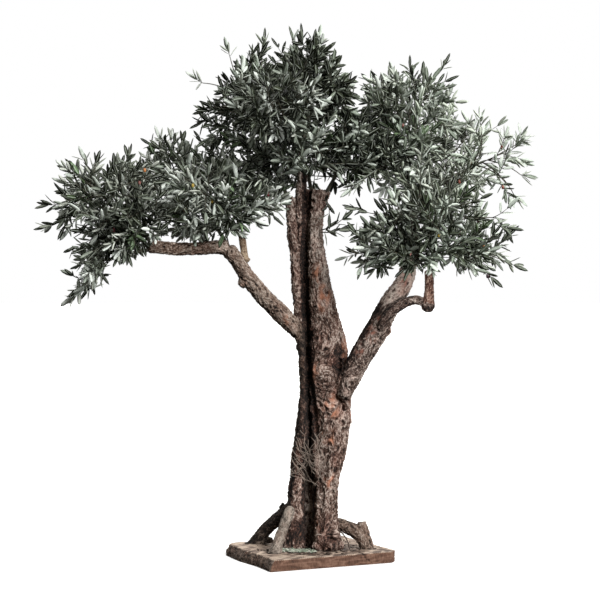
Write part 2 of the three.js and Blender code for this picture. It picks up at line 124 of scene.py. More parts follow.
def bark_material(name, pit, body, ridge, flake, wrinkle_mm=7):
    material, tree, shader = new_material(name, Roughness=0.86, Specular_IOR_Level=0.3)
    # The relief attribute holds carve_bark's tone: painted shade in the pits, hollows, groove and darkened
    # spots, painted light on the lightened spots, and paler ridge tops that are partly painted highlight.
    relief = add_node(tree, "Attribute", attribute_name="relief").outputs["Fac"]
    grain = add_node(tree, "Attribute", attribute_name="grain").outputs["Vector"]
    patch = add_node(tree, "Attribute", attribute_name="patch").outputs["Fac"]
    on_tree = add_node(tree, "TexCoord").outputs["Object"]
    mottle_scale = 1000 / (wrinkle_mm * MOTTLE_WIDTHS)
    mottle = add_node(
        tree, "TexNoise", {"Vector": grain, "Scale": mottle_scale, "Detail": 6, "Roughness": 0.78}
    )
    folds = add_node(
        tree, "TexNoise", {"Vector": grain, "Scale": 1000 / wrinkle_mm, "Detail": 2, "Roughness": 0.6}
    )
    from_fold = add_node(tree, "Math", {0: folds.outputs["Fac"], 1: 0.5}, operation="SUBTRACT")
    fold_distance = add_node(tree, "Math", {0: from_fold.outputs[0]}, operation="ABSOLUTE")
    wrinkle = add_node(
        tree, "MapRange", {"Value": fold_distance.outputs[0], "From Max": 0.075, "To Min": 1, "To Max": 0}
    )
    mottled = add_node(tree, "Math", {0: mottle.outputs["Fac"], 1: 1.1, 2: relief}, operation="MULTIPLY_ADD")
    wrinkled = add_node(
        tree, "Math", {0: wrinkle.outputs[0], 1: 0.18, 2: mottled.outputs[0]}, operation="MULTIPLY_ADD"
    )
    speckle = add_node(
        tree, "TexNoise", {"Vector": on_tree, "Scale": 1000 / SPECKLE_MM, "Detail": 3, "Roughness": 0.7}
    )
    speckled = add_node(
        tree, "Math", {0: speckle.outputs["Fac"], 1: SPECKLE_SHARE, 2: wrinkled.outputs[0]},
        operation="MULTIPLY_ADD",
    )
    darkest = 0.5 + SPECKLE_SHARE / 2
    palest = 1.34 + SPECKLE_SHARE / 2
    tone = add_node(tree, "MapRange", {"Value": speckled.outputs[0], "From Min": darkest, "From Max": palest})
    colour = add_node(tree, "ValToRGB", {"Fac": tone.outputs[0]}, [(0.1, pit), (0.9, ridge), (0.42, body)])
    stain = add_node(
        tree, "TexNoise", {"Vector": grain, "Scale": 1000 / STAIN_MM, "Detail": 5, "Roughness": 0.65}
    )
    stain_share = add_node(
        tree, "MapRange", {"Value": stain.outputs["Fac"], "From Min": 0.46, "From Max": 0.68, "To Max": 0.8}
    )
    stained = add_node(
        tree, "Mix", {"Factor": stain_share.outputs[0], 6: colour.outputs["Color"], 7: linear(STAIN_TINT)},
        data_type="RGBA", blend_type="MULTIPLY",
    )
    flaked = add_node(
        tree, "Mix", {"Factor": patch, 6: stained.outputs[2], 7: linear(flake)}, data_type="RGBA"
    )
    bump = add_node(
        tree, "Bump", {"Height": wrinkled.outputs[0], "Strength": 0.8, "Distance": WRINKLE_HEIGHT_MM * MM}
    )
    tree.links.new(flaked.outputs[2], shader.inputs["Base Color"])
    tree.links.new(bump.outputs[0], shader.inputs["Normal"])
    return material


# Leaf fabric: printed polyester with a satin face. Each spray and leaf has its own tone between
# dark green and frosted grey, a cloudy print, and a pale rib along the middle, which is drawn 3 mm
# wide so that it shows.
LEAF_PRINT_MM = 12
FRESH_TINT = "#cdffb0"


def leaf_material(name, tones, rib_colour, rib_share, roughness):
    material, tree, shader = new_material(name, Roughness=roughness, Specular_IOR_Level=0.22)
    # The tone attribute holds each leaf's tone, which its mass shifts towards pale as painted light or
    # towards dark as painted shade.
    tone = add_node(tree, "Attribute", attribute_name="tone").outputs["Fac"]
    fresh = add_node(tree, "Attribute", attribute_name="fresh").outputs["Fac"]
    from_rib = add_node(tree, "Attribute", attribute_name="from_rib").outputs["Fac"]
    on_tree = add_node(tree, "TexCoord").outputs["Object"]
    clouds = add_node(
        tree, "TexNoise", {"Vector": on_tree, "Scale": 1000 / LEAF_PRINT_MM, "Detail": 3, "Roughness": 0.6}
    )
    clouded = add_node(tree, "Math", {0: clouds.outputs["Fac"], 1: 0.3, 2: tone}, operation="MULTIPLY_ADD")
    centred = add_node(tree, "Math", {0: clouded.outputs[0], 1: 0.15}, operation="SUBTRACT")
    colour = add_node(tree, "ValToRGB", {"Fac": centred.outputs[0]}, tones)
    freshened = add_node(
        tree, "Mix", {"Factor": fresh, 6: colour.outputs["Color"], 7: linear(FRESH_TINT)},
        data_type="RGBA", blend_type="MULTIPLY",
    )
    rib = add_node(
        tree, "MapRange",
        {"Value": from_rib, "From Min": 0.1, "From Max": 0.24, "To Min": rib_share, "To Max": 0},
    )
    ribbed = add_node(
        tree, "Mix", {"Factor": rib.outputs[0], 6: freshened.outputs[2], 7: linear(rib_colour)},
        data_type="RGBA",
    )
    tree.links.new(ribbed.outputs[2], shader.inputs["Base Color"])
    return material


# A plain finish with cloudy tone: two colours mixed by patches of the given size
def cloudy_material(name, dark, light, patch_mm, roughness):
    material, tree, shader = new_material(name, Roughness=roughness)
    on_tree = add_node(tree, "TexCoord").outputs["Object"]
    clouds = add_node(
        tree, "TexNoise", {"Vector": on_tree, "Scale": 1000 / patch_mm, "Detail": 4, "Roughness": 0.65}
    )
    colour = add_node(tree, "ValToRGB", {"Fac": clouds.outputs["Fac"]}, [(0.35, dark), (0.65, light)])
    tree.links.new(colour.outputs["Color"], shader.inputs["Base Color"])
    return material


# Moulded plastic fruit: smooth and slightly waxy, with a soft highlight and a darker bloom 9 mm across
def olive_material(name, dark, light):
    return cloudy_material(name, dark, light, 9, 0.34)


# Wire twigs in moulded plastic: matt brown-green, streaked every 15 mm
def twig_material():
    return cloudy_material("moulded_wire_twig", "#2e2c24", "#5a5748", 15, 0.7)


# Dry bark fibre and shredded moss, both matt, with tone that changes every 20 mm
def dry_material(name, dark, light):
    return cloudy_material(name, dark, light, 20, 0.95)


# Sawn softwood: matt, with growth bands along the board, wider blotches and saw marks across it
BLOTCH_MM = 58.8
SAW_MARK_MM = 2


def sawn_wood_material(name, dark, light, speck, band_mm, band_direction):
    material, tree, shader = new_material(name, Roughness=0.82, Specular_IOR_Level=0.25)
    grain = add_node(tree, "Attribute", attribute_name="grain").outputs["Vector"]
    # The relief attribute holds the board's tone, darkened in the crack as painted shade and round the feet
    # by dirt and painted shadow.
    relief = add_node(tree, "Attribute", attribute_name="relief").outputs["Fac"]
    stretched = add_node(tree, "Mapping", {"Vector": grain, "Scale": band_direction}).outputs[0]
    bands = add_node(
        tree, "TexNoise", {"Vector": stretched, "Scale": 1000 / band_mm, "Detail": 7, "Roughness": 0.62}
    )
    blotches = add_node(
        tree, "TexNoise", {"Vector": grain, "Scale": 1000 / BLOTCH_MM, "Detail": 5, "Roughness": 0.6}
    )
    both = add_node(
        tree, "Math", {0: blotches.outputs["Fac"], 1: 0.28, 2: bands.outputs["Fac"]},
        operation="MULTIPLY_ADD",
    )
    tone = add_node(tree, "Math", {0: relief, 1: 0.9, 2: both.outputs[0]}, operation="MULTIPLY_ADD")
    spread = add_node(tree, "MapRange", {"Value": tone.outputs[0], "From Min": 0.57, "From Max": 1.52})
    colour = add_node(
        tree, "ValToRGB", {"Fac": spread.outputs[0]}, [(0.12, speck), (0.8, light), (0.4, dark)]
    )
    bump = add_node(
        tree, "Bump", {"Height": bands.outputs["Fac"], "Strength": 0.6, "Distance": SAW_MARK_MM * MM}
    )
    tree.links.new(colour.outputs["Color"], shader.inputs["Base Color"])
    tree.links.new(bump.outputs[0], shader.inputs["Normal"])
    return material


# Wood: the limbs' stations, each [x, y, z, half width, half depth] or [x, y, z, radius], and knobs,
# each with its middle and three half sizes. They are the solids' own, except for the slimmer foot
# of the left bough, the lower right prop and the thicker foot of the right stub.
TRUNK_LOGS = {
    "right": [
        [74, -42, 20, 60, 64], [66, -30, 112, 54, 62], [58, -12, 212, 46, 60], [60, -4, 312, 50, 66],
        [74, 0, 432, 72, 76], [80, 0, 576, 82, 84], [72, 0, 692, 90, 88], [66, 0, 852, 80, 80],
        [52, -2, 980, 60, 62], [38, -2, 1092, 46, 50], [27, 0, 1212, 35, 42], [22, 2, 1304, 27, 36],
        [27, 2, 1384, 30, 34], [33, 0, 1462, 35, 32],
    ],
    "left": [
        [-66, -24, 20, 46, 44], [-63, -18, 112, 42, 42], [-56, -12, 224, 35, 42], [-50, -10, 328, 30, 44],
        [-34, -6, 448, 34, 52], [-20, 0, 588, 27, 52], [-14, 4, 700, 24, 44], [-26, 4, 852, 25, 38],
        [-40, 4, 980, 26, 32], [-51, 4, 1084, 21, 28], [-57, 2, 1176, 20, 26], [-65, 0, 1260, 22, 26],
        [-74, 0, 1344, 21, 24], [-81, 0, 1434, 18, 20],
    ],
    "rear": [
        [4, 62, 20, 58, 40], [6, 56, 130, 46, 38], [10, 46, 300, 40, 34], [20, 40, 520, 48, 46],
        [22, 34, 760, 46, 50], [4, 26, 980, 34, 40], [-16, 20, 1160, 22, 30],
    ],
    "crown": [
        [-16, 22, 1100, 20, 26], [-30, 20, 1260, 15, 24], [-38, 16, 1420, 17, 22],
        [-32, 12, 1500, 19, 20], [-34, 10, 1640, 14, 14],
    ],
}
TRUNK_KNOBS = [
    [-42, -14, 846, 14, 22, 22],
    [60, -70, 742, 52, 26, 44],
    [128, -40, 560, 38, 34, 52],
]
LIMBS = {
    "left_bough": {
        "stations": [
            [-50, -44, 899, 26], [-64, -54, 924, 33], [-119, -64, 980, 36], [-182, -72, 1044, 33],
            [-241, -81, 1113, 32], [-280, -88, 1176, 29], [-318, -95, 1226, 30],
        ],
        "knobs": [[-262, -84, 1104, 22, 22, 26]],
    },
    "left_arm": {
        "stations": [
            [-336, -96, 1240, 30], [-372, -103, 1240, 27], [-433, -112, 1235, 25],
            [-522, -128, 1232, 25], [-588, -140, 1238, 26], [-626, -148, 1243, 20],
        ],
        "knobs": [[-609, -145, 1262, 14, 14, 20]],
    },
    "left_stub": {
        "stations": [[-254, -87, 1186, 16], [-259, -87, 1210, 14], [-269, -88, 1282, 14]],
    },
    "right_bough": {
        "stations": [
            [133, -94, 654, 26], [157, -78, 716, 38], [190, -62, 788, 45], [256, -44, 898, 47],
            [318, -22, 1014, 43], [377, 0, 1108, 35], [405, 20, 1232, 28], [403, 38, 1374, 23],
            [395, 50, 1484, 19],
        ],
        "knobs": [[302, -30, 912, 22, 22, 24]],
    },
    "right_arm": {
        "stations": [
            [278, -66, 930, 18], [321, -88, 990, 20], [371, -106, 1020, 19], [408, -118, 1032, 18],
            [440, -126, 1026, 18],
        ],
        "knobs": [[462, -132, 1010, 28, 26, 27]],
    },
    "right_stub": {
        "stations": [
            [463, -132, 1018, 25], [465, -132, 1046, 21], [467, -132, 1080, 18], [466, -132, 1140, 19],
        ],
    },
    "prop_rear_left": {
        "stations": [
            [-76, 22, 200, 24], [-104, 38, 172, 27], [-172, 74, 110, 25], [-244, 110, 18, 26],
        ],
        "knobs": [[-112, 36, 198, 11, 11, 13], [-182, 84, 82, 12, 12, 14]],
    },
    "prop_front_left": {
        "stations": [
            [-76, -70, 206, 17], [-84, -77, 190, 21], [-108, -106, 128, 20], [-128, -132, 74, 22],
            [-144, -150, 20, 30],
        ],
    },
    "prop_right": {
        "stations": [
            [92, -18, 146, 22], [120, -24, 138, 24], [154, -30, 124, 27], [184, -35, 110, 29],
            [213, -41, 84, 29], [233, -48, 20, 27],
        ],
    },
}
BOARD_TOP = 45


def unit(vectors):
    lengths = np.linalg.norm(vectors, axis=-1, keepdims=True)
    return vectors / np.maximum(lengths, 1e-9)


def along_limb(stations, u):
    """Centres, directions and half sizes of a limb at the shares u, on a Catmull-Rom curve."""
    rows = np.array([[*s[:4], s[4] if len(s) > 4 else s[3]] for s in stations], float)
    points = rows[:, :3]
    padded = np.vstack([2 * points[0] - points[1], points, 2 * points[-1] - points[-2]])
    position = np.clip(np.asarray(u, float), 0, 1) * (len(points) - 1)
    first = np.minimum(position.astype(int), len(points) - 2)
    t = (position - first)[:, None]
    p0, p1, p2, p3 = (padded[first + i] for i in range(4))
    m1 = 0.5 * (p2 - p0)
    m2 = 0.5 * (p3 - p1)
    square = -3 * p1 + 3 * p2 - 2 * m1 - m2
    cube = 2 * p1 - 2 * p2 + m1 + m2
    centres = p1 + m1 * t + square * t**2 + cube * t**3
    directions = unit(m1 + 2 * square * t + 3 * cube * t**2)
    sizes = rows[first, 3:] * (1 - t) + rows[first + 1, 3:] * t
    return centres, directions, sizes


def cross_frame(directions):
    """Two directions square to each direction, the first one level where that works."""
    right = np.cross([0, -1, 0], directions)
    steep = np.linalg.norm(right, axis=-1) < 0.2
    right[steep] = np.cross([0, 0, 1], directions[steep])
    right = unit(right)
    return right, unit(np.cross(directions, right))


def ring_faces(rings, sides):
    """Faces of a closed tube whose vertices come ring by ring."""
    faces = []
    for row in range(rings - 1):
        for side in range(sides):
            a = row * sides + side
            b = row * sides + (side + 1) % sides
            faces.append((a, b, b + sides, a + sides))
    last = (rings - 1) * sides
    return faces + [tuple(range(sides))[::-1], tuple(range(last, last + sides))]


# How far a rounded end reaches on, as a share of the limb's radius there
END_ROUNDING = 0.55


def tube(centres, directions, sizes, sides, rounded=False):
    """Vertices and faces of a closed tube, with flat or rounded ends."""
    if rounded:
        turns = np.radians([75, 50, 25])
        reach = END_ROUNDING * sizes.mean(1)
        start = [centres[0] - directions[0] * reach[0] * math.sin(a) for a in turns]
        end = [centres[-1] + directions[-1] * reach[-1] * math.sin(a) for a in turns[::-1]]
        start_sizes = [sizes[0] * math.cos(a) for a in turns]
        end_sizes = [sizes[-1] * math.cos(a) for a in turns[::-1]]
        directions = np.vstack([[directions[0]] * 3, directions, [directions[-1]] * 3])
        centres = np.vstack([start, centres, end])
        sizes = np.vstack([start_sizes, sizes, end_sizes])
    right, out = cross_frame(directions)
    angle = 2 * math.pi * np.arange(sides) / sides
    vertices = (
        centres[:, None]
        + right[:, None] * (sizes[:, None, :1] * np.cos(angle)[None, :, None])
        + out[:, None] * (sizes[:, None, 1:] * np.sin(angle)[None, :, None])
    ).reshape(-1, 3)
    return vertices, ring_faces(len(centres), sides)


def ball(x, y, z, half_x, half_y, half_z, rings=10, sides=14):
    """Vertices and faces of a closed ball with three half sizes."""
    turns = np.linspace(-math.pi / 2, math.pi / 2, rings)[1:-1]
    centres = np.stack([np.full_like(turns, x), np.full_like(turns, y), z + half_z * np.sin(turns)], 1)
    sizes = np.stack([half_x * np.cos(turns), half_y * np.cos(turns)], 1)
    return tube(centres, np.tile([0.0, 0.0, 1.0], (len(turns), 1)), sizes, sides)


def join(parts):
    """Several (vertices, faces) as one."""
    vertices = []
    faces = []
    offset = 0
    for part_vertices, part_faces in parts:
        vertices.append(part_vertices)
        faces.extend(tuple(i + offset for i in face) for face in part_faces)
        offset += len(part_vertices)
    return np.vstack(vertices), faces


def shade(mesh, smooth=True):
    mesh.polygons.foreach_set("use_smooth", [smooth] * len(mesh.polygons))


def make_object(name, vertices, faces, materials, smooth=False):
    """A mesh object from millimetres."""
    mesh = bpy.data.meshes.new(name)
    mesh.from_pydata((np.asarray(vertices) * MM).tolist(), [], faces)
    for material in materials:
        mesh.materials.append(material)
    shade(mesh, smooth)
    mesh.update()
    return add_object(name, mesh)


def place(piece, slot, *nodes):
    """Every piece rides on the tree's one body and stands for its nodes."""
    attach(piece, "root")
    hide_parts(*nodes)


def remesh(piece, voxel_mm):
    """Fuses the overlapping shapes of a piece into one even skin."""
    modifier = piece.modifiers.new("skin", "REMESH")
    modifier.mode = "VOXEL"
    modifier.voxel_size = voxel_mm * MM
    graph = bpy.context.evaluated_depsgraph_get()
    skin = bpy.data.meshes.new_from_object(piece.evaluated_get(graph))
    piece.modifiers.clear()
    materials = list(piece.data.materials)
    piece.data = skin
    skin.materials.clear()
    for material in materials:
        skin.materials.append(material)


def mesh_arrays(mesh):
    """Vertices and their normals, in millimetres."""
    points = np.empty(len(mesh.vertices) * 3)
    mesh.vertices.foreach_get("co", points)
    normals = np.empty(len(mesh.vertices) * 3)
    mesh.vertex_normals.foreach_get("vector", normals)
    return points.reshape(-1, 3) / MM, normals.reshape(-1, 3)


def move_vertices(mesh, points):
    """Puts the vertices at the points, in millimetres."""
    mesh.vertices.foreach_set("co", (points * MM).ravel())
    mesh.update()


def store(mesh, name, values, kind="FLOAT"):
    """Keeps one value or vector for each vertex where the materials can read it."""
    attribute = mesh.attributes.new(name, kind, "POINT")
    field = "value" if kind == "FLOAT" else "vector"
    attribute.data.foreach_set(field, np.asarray(values, np.float32).ravel())


# The grain of neighbouring limbs is kept this far apart, in millimetres, so that they don't match
GRAIN_APART = 1300
GRAIN_STEPS = 80
POINTS_AT_ONCE = 20000


def limb_grain(points, limbs):
    """Each point in its nearest limb's own directions: right, out and along, in millimetres."""
    centres = []
    directions = []
    sizes = []
    lengths = []
    for number, stations in enumerate(limbs):
        centre, direction, size = along_limb(stations, np.linspace(0, 1, GRAIN_STEPS))
        steps = np.linalg.norm(np.diff(centre, axis=0), axis=1)
        centres.append(centre)
        directions.append(direction)
        sizes.append(size.mean(1))
        lengths.append(np.concatenate([[0], np.cumsum(steps)]) + GRAIN_APART * number)
    centres = np.vstack(centres)
    directions = np.vstack(directions)
    sizes = np.concatenate(sizes)
    lengths = np.concatenate(lengths)
    nearest = np.empty(len(points), int)
    for start in range(0, len(points), POINTS_AT_ONCE):
        part = points[start : start + POINTS_AT_ONCE]
        apart = np.linalg.norm(part[:, None] - centres[None], axis=2) - sizes[None]
        nearest[start : start + POINTS_AT_ONCE] = apart.argmin(1)
    offset = points - centres[nearest]
    right, out = ((offset * axis[nearest]).sum(1) for axis in cross_frame(directions))
    along = lengths[nearest] + (offset * directions[nearest]).sum(1)
    return np.stack([right, out, along], 1)


def rolling(points, spacing):
    """Smooth swellings from about -0.7 to 0.7."""
    return np.array([noise.noise(p) for p in points / spacing])


def ridges(points, spacing, width):
    """Thin winding ridges, 1 along their tops and 0 between them."""
    return np.exp(-((rolling(points, spacing) / width) ** 2))


KNOT_TURN = 1.8


def twirl(grain, knots):
    """Winds the grain round each knot, given as [right, out, along, reach]."""
    wound = grain.copy()
    for right, _, along, reach in knots:
        x = grain[:, 0] - right
        y = grain[:, 2] - along
        angle = KNOT_TURN * np.exp(-(x * x + y * y) / (reach * reach))
        wound[:, 0] += x * np.cos(angle) - y * np.sin(angle) - x
        wound[:, 2] += x * np.sin(angle) + y * np.cos(angle) - y
    return wound


# Spots are taller than wide, as marks on bark are
SPOT_SQUASH = [1, 1, 0.55]


def spots(points, centres, reach=1.0):
    """1 at the middle of each spot, [x, y, z, size], falling to 0 a little outside it."""
    value = np.zeros(len(points))
    for x, y, z, size in centres:
        far = np.linalg.norm((points - [x, y, z]) * SPOT_SQUASH, axis=1) / (size * reach)
        value = np.maximum(value, np.clip(1.3 - far, 0, 1))
    return value


# The groove down the front between the two logs, darkened to black as painted shade: [height, middle, half
# width]
TRUNK_GROOVE = np.array([
    [45, -8, 9], [159, -6, 17], [318, -4, 19], [437, -12, 13], [516, 10, 14], [635, 10, 10],
    [715, 2, 9], [834, -12, 12], [913, -15, 12], [992, -17, 11], [1072, -21, 12], [1191, -24, 12],
    [1310, -22, 9], [1445, -12, 14],
])
GROOVE_DEPTH = 14
GROOVE_BACK = 15
GROOVE_FADE = 25


def groove_share(points):
    """1 along the middle of the groove, falling to 0 a little outside its edges and behind it."""
    height, middle, half = TRUNK_GROOVE.T
    away = np.abs(points[:, 0] - np.interp(points[:, 2], height, middle))
    share = np.clip(1.6 - away / np.interp(points[:, 2], height, half), 0, 1)
    return share * np.clip((GROOVE_BACK - points[:, 1]) / GROOVE_FADE, 0, 1)


# How wide the forms of the bark are, in millimetres. The folds, wrinkles, pits and flakes follow
# the grain, which sways a little. The swellings and the darker stretches don't.
SWAY_MM = 48
SWAY_REACH = 12
SWELLING_MM = 75
SMALL_SWELLING_MM = 32
FOLD_MM = 13
WRINKLE_MM = 7.5
PIT_MM = 11
FLAKE_MM = 15
STRETCH_OF_TONE_MM = 60
# Shifts that keep one pattern from matching another, in millimetres
SWAY_SHIFTS = (0, 400, 800)
SMALL_SWELLING_SHIFT = 900
WRINKLE_SHIFT = 300
PIT_SHIFT = 600
TONE_SHIFT = 1500


def carve_bark(
    piece, limbs, depth, voxel, knots=(), patches=(), hollows=(), damp=(), pale=(), pale_share=0.14,
    smooth_share=0.0, stretch=0.5, grooved=False, base=0.2,
):
    """Fuses a piece and gives it bark: folds and wrinkles along its limbs, wound round the knots.

    The depth is how high the bark stands and the voxel how fine its skin is, in millimetres. The
    grain's lengths are shortened by stretch, so the wrinkles run along the limb. Patches, hollows,
    the spots darkened as painted shade and the pale spots, lightened as painted light, are lists of
    spots. Hollows are darkened as painted shade too, and base is the tone between them.
    """
    remesh(piece, voxel)
    mesh = piece.data
    points, normals = mesh_arrays(mesh)
    grain = limb_grain(points, limbs)
    if knots:
        places = np.array([knot[:3] for knot in knots], float)
        grain = twirl(grain, [[*g, knot[3]] for g, knot in zip(limb_grain(places, limbs), knots)])
    sway = np.stack([rolling(points + shift, SWAY_MM) for shift in SWAY_SHIFTS], 1)
    flow = (grain + sway * SWAY_REACH) * [1, 1, stretch]
    swelling = rolling(points, SWELLING_MM)
    swelling += 0.6 * rolling(points + SMALL_SWELLING_SHIFT, SMALL_SWELLING_MM)
    folds = ridges(flow, FOLD_MM, 0.13)
    wrinkles = ridges(flow + WRINKLE_SHIFT, WRINKLE_MM, 0.14)
    pits = np.clip(rolling(flow * [1, 1, 1.4] + PIT_SHIFT, PIT_MM) - 0.22, 0, 1)
    hollow = spots(points, hollows)
    groove = groove_share(points) if grooved else np.zeros(len(points))
    height = (0.5 * swelling + 0.55 * folds + 0.5 * wrinkles - 1.5 * pits) * (1 - smooth_share)
    points = points + normals * (depth * (height - 0.35 - 2.2 * hollow))[:, None]
    points[:, 1] += GROOVE_DEPTH * groove
    move_vertices(mesh, points)
    tone_drift = rolling(points * [1, 1, 0.6] + TONE_SHIFT, STRETCH_OF_TONE_MM)
    # Folds, wrinkles and swellings make the tone paler, partly bark colour and partly painted highlight. The
    # pale spots add painted light, and the spots of painted shade, pits, hollows and groove darken it as
    # painted shade.
    tone = base + 0.2 * folds + 0.17 * wrinkles + 0.14 * swelling + 0.16 * tone_drift
    tone += 0.2 * smooth_share + pale_share * spots(points, pale) - 0.42 * spots(points, damp)
    tone -= 0.8 * pits + 0.7 * hollow + 0.9 * groove
    ragged = np.clip(0.3 + 1.7 * rolling(flow, FLAKE_MM) + 0.3 * wrinkles - 0.8 * pits, 0, 1)
    store(mesh, "relief", np.clip(tone, 0, 1))
    store(mesh, "grain", flow * MM, "FLOAT_VECTOR")
    store(mesh, "patch", np.clip(spots(points, patches, 0.85) * ragged, 0, 0.78))
    shade(mesh)


def limb_tube(stations, sides=28, rounded=True):
    steps = max(12, len(stations) * 6)
    return tube(*along_limb(stations, np.linspace(0, 1, steps)), sides, rounded)


def cut_at_board(piece):
    """Flattens whatever a foot has below the board's top."""
    points, _ = mesh_arrays(piece.data)
    points[:, 2] = np.maximum(points[:, 2], BOARD_TOP)
    move_vertices(piece.data, points)


def build_limb(name, bark, slot, extra=(), **relief):
    """A bough, arm, stub or prop, with its knobs, its extra shapes and what carve_bark takes."""
    limb = LIMBS[name]
    parts = [limb_tube(limb["stations"]), *(ball(*knob) for knob in limb.get("knobs", [])), *extra]
    piece = make_object(name + "_bark", *join(parts), [BARKS[bark]])
    carve_bark(piece, [limb["stations"]], **relief)
    if name.startswith("prop"):
        cut_at_board(piece)
    place(piece, slot, name)


# The weathered barks and bare woods of the tree. Each is named for what it is, from its pits over
# its body to its ridges, with the inner bark that shows where flakes came off.
BARKS = {
    # Old olive bark: near black in the furrows as painted shade, and ash pale on the ridges, partly bark
    # colour and partly painted highlight, so it looks deeply cut
    "trunk": bark_material("weathered_olive_bark", "#0a0604", "#5b443a", "#c6b8ad", "#c08468"),
    # Bark worn by handling: evener and greyer than the trunk's
    "bough": bark_material("worn_bough_bark", "#110a07", "#6a584c", "#a99c91", "#9c6a50", 6),
    # Furrowed bark: ash grey on the ridges, with furrows darkened as painted shade so that they read as deep
    "furrowed": bark_material("furrowed_bough_bark", "#0d0806", "#54433b", "#c6b7ac", "#905f50", 6),
    # Bark made warmest and palest as painted light, as if in open light
    "arm": bark_material("painted_light_arm_bark", "#140c08", "#6c5547", "#cdbcaf", "#9c6a50", 6),
    # Wood without its bark: tan, with shallow pits
    "tan": bark_material("peeled_tan_wood", "#2c2019", "#6b5543", "#a89680", "#9a7358", 5),
    # Inner bark laid bare: reddish brown all over
    "red": bark_material("red_inner_bark", "#1a0f0c", "#55352a", "#ad9484", "#97583f", 6),
    # Bark darkened as painted shade, with few pale ridges
    "dark": bark_material("damp_dark_bark", "#0b0807", "#2d241f", "#85776b", "#5b3c30", 6),
    # Wood bleached by weather: grey, with pits that aren't quite black
    "pale": bark_material("bleached_driftwood", "#2c2621", "#6a6057", "#a0958a", "#7d5f50", 6),
}


# The trunk's knots, round which its grain winds, each [x, y, z, reach]
TRUNK_KNOTS = [[52, -90, 735, 62], [96, -84, 640, 44], [80, -100, 90, 36]]
# Spots where flakes came off and red inner bark shows, each [x, y, z, size]
TRUNK_PATCHES = [
    [28, -46, 1140, 24], [56, -50, 1052, 28], [50, -60, 1010, 20], [8, -84, 738, 24],
    [20, -84, 764, 22], [96, -84, 596, 22], [66, -84, 600, 22], [56, -82, 496, 20], [80, -78, 488, 22],
    [76, -64, 318, 22], [160, -30, 588, 24], [92, -80, 630, 22], [-36, -60, 104, 10],
    [30, -76, 140, 14], [150, -30, 836, 34],
]
# Spots where the bark is sunk beside the crotch and the groove, and darkened there as painted shade
TRUNK_HOLLOWS = [
    [126, -60, 800, 34], [116, -72, 752, 26], [-10, -50, 800, 22], [-10, -54, 720, 22],
    [-8, -56, 640, 22], [0, -60, 560, 20], [12, -70, 500, 18],
]
# Spots where the bark is darkened as painted shade, most of them along the groove
TRUNK_PAINTED_SHADE = [[-34, -30, z, 54] for z in range(450, 900, 60)] + [
    [-84, 0, 1040, 22], [-88, 0, 1140, 20], [-64, -40, 60, 44], [-40, -50, 110, 34], [80, -90, 60, 30],
    [-84, -30, 190, 34], [-80, -30, 260, 34], [-76, -30, 330, 34],
]
# Spots up the front of the main log where the bark is lightened as painted light
TRUNK_PAINTED_LIGHT = [[44, -40, z, 58] for z in range(1040, 1400, 60)]
# Raised strands of bark that wind along the trunk, each a row of [x, y, z, radius]
TRUNK_STRANDS = [
    [[112, -52, 60, 12], [100, -50, 220, 10], [104, -52, 330, 13], [136, -36, 470, 14], [150, -20, 640, 11]],
    [[30, -66, 60, 13], [34, -52, 260, 10], [18, -62, 430, 12], [6, -58, 620, 11], [2, -48, 860, 9]],
    [[70, -98, 52, 14], [62, -70, 210, 11], [84, -72, 420, 13], [112, -72, 590, 13], [132, -50, 760, 11]],
    [[-66, -54, 60, 12], [-64, -46, 240, 9], [-48, -50, 420, 11], [-30, -46, 600, 9], [-30, -30, 800, 8]],
    [[70, -66, 900, 11], [58, -54, 1000, 10], [44, -44, 1110, 8], [34, -38, 1240, 7]],
    [[112, -34, 880, 11], [92, -34, 980, 10], [70, -28, 1090, 8], [48, -24, 1210, 7]],
    [[134, -68, 806, 10], [124, -78, 752, 13], [117, -84, 700, 14], [128, -84, 655, 14], [146, -68, 606, 12]],
    [[-10, 34, 1080, 22], [-14, 28, 1240, 16], [-12, 26, 1380, 13], [-10, 22, 1470, 12]],
    [[-46, -4, 1130, 12], [-34, -14, 1240, 11], [-38, -10, 1340, 13], [-44, 0, 1452, 15], [-40, 8, 1490, 13]],
]
# Swirling strands on the front of the main log below the crotch, each a row of [x, z]
SWIRL_STRANDS = [
    [[6, 708], [18, 676], [40, 654], [70, 640], [104, 628]],
    [[4, 740], [12, 696], [34, 672], [64, 658], [98, 650]],
    [[16, 716], [30, 690], [54, 678], [84, 676], [110, 668]],
    [[10, 780], [18, 734], [36, 704], [62, 696], [92, 698]],
    [[26, 760], [34, 728], [52, 714], [76, 718], [98, 726]],
    [[8, 672], [22, 648], [44, 632], [66, 612], [80, 586]],
    [[40, 800], [44, 764], [58, 742], [78, 744], [96, 762]],
    [[12, 640], [30, 612], [48, 596], [58, 560], [56, 520]],
    [[104, 640], [110, 600], [108, 560], [98, 510], [92, 450]],
]
SWIRL_RADIUS = 7
# Lumps of burl round the front of the right foot, each with its middle and three half sizes
FOOT_BURLS = [
    [48, -90, 86, 24, 18, 26], [84, -98, 62, 25, 18, 20], [114, -80, 62, 22, 22, 20],
    [26, -84, 60, 18, 20, 18], [96, -88, 104, 20, 18, 22],
]


def on_main_log(x, z):
    """The front of the main log at a place in the view, as a station of a thin strand."""
    centres, _, sizes = along_limb(TRUNK_LOGS["right"], np.linspace(0, 1, 120))
    row = np.abs(centres[:, 2] - z).argmin()
    across = min(abs(x - centres[row, 0]) / sizes[row, 0], 0.98)
    return [x, centres[row, 1] - sizes[row, 1] * math.sqrt(1 - across**2) + 1, z, SWIRL_RADIUS]


# The lip of the sawn log top, which flares to the right
TRUNK_LIP = [[46, -14, 1396, 16], [60, -8, 1440, 15], [70, 0, 1462, 11]]
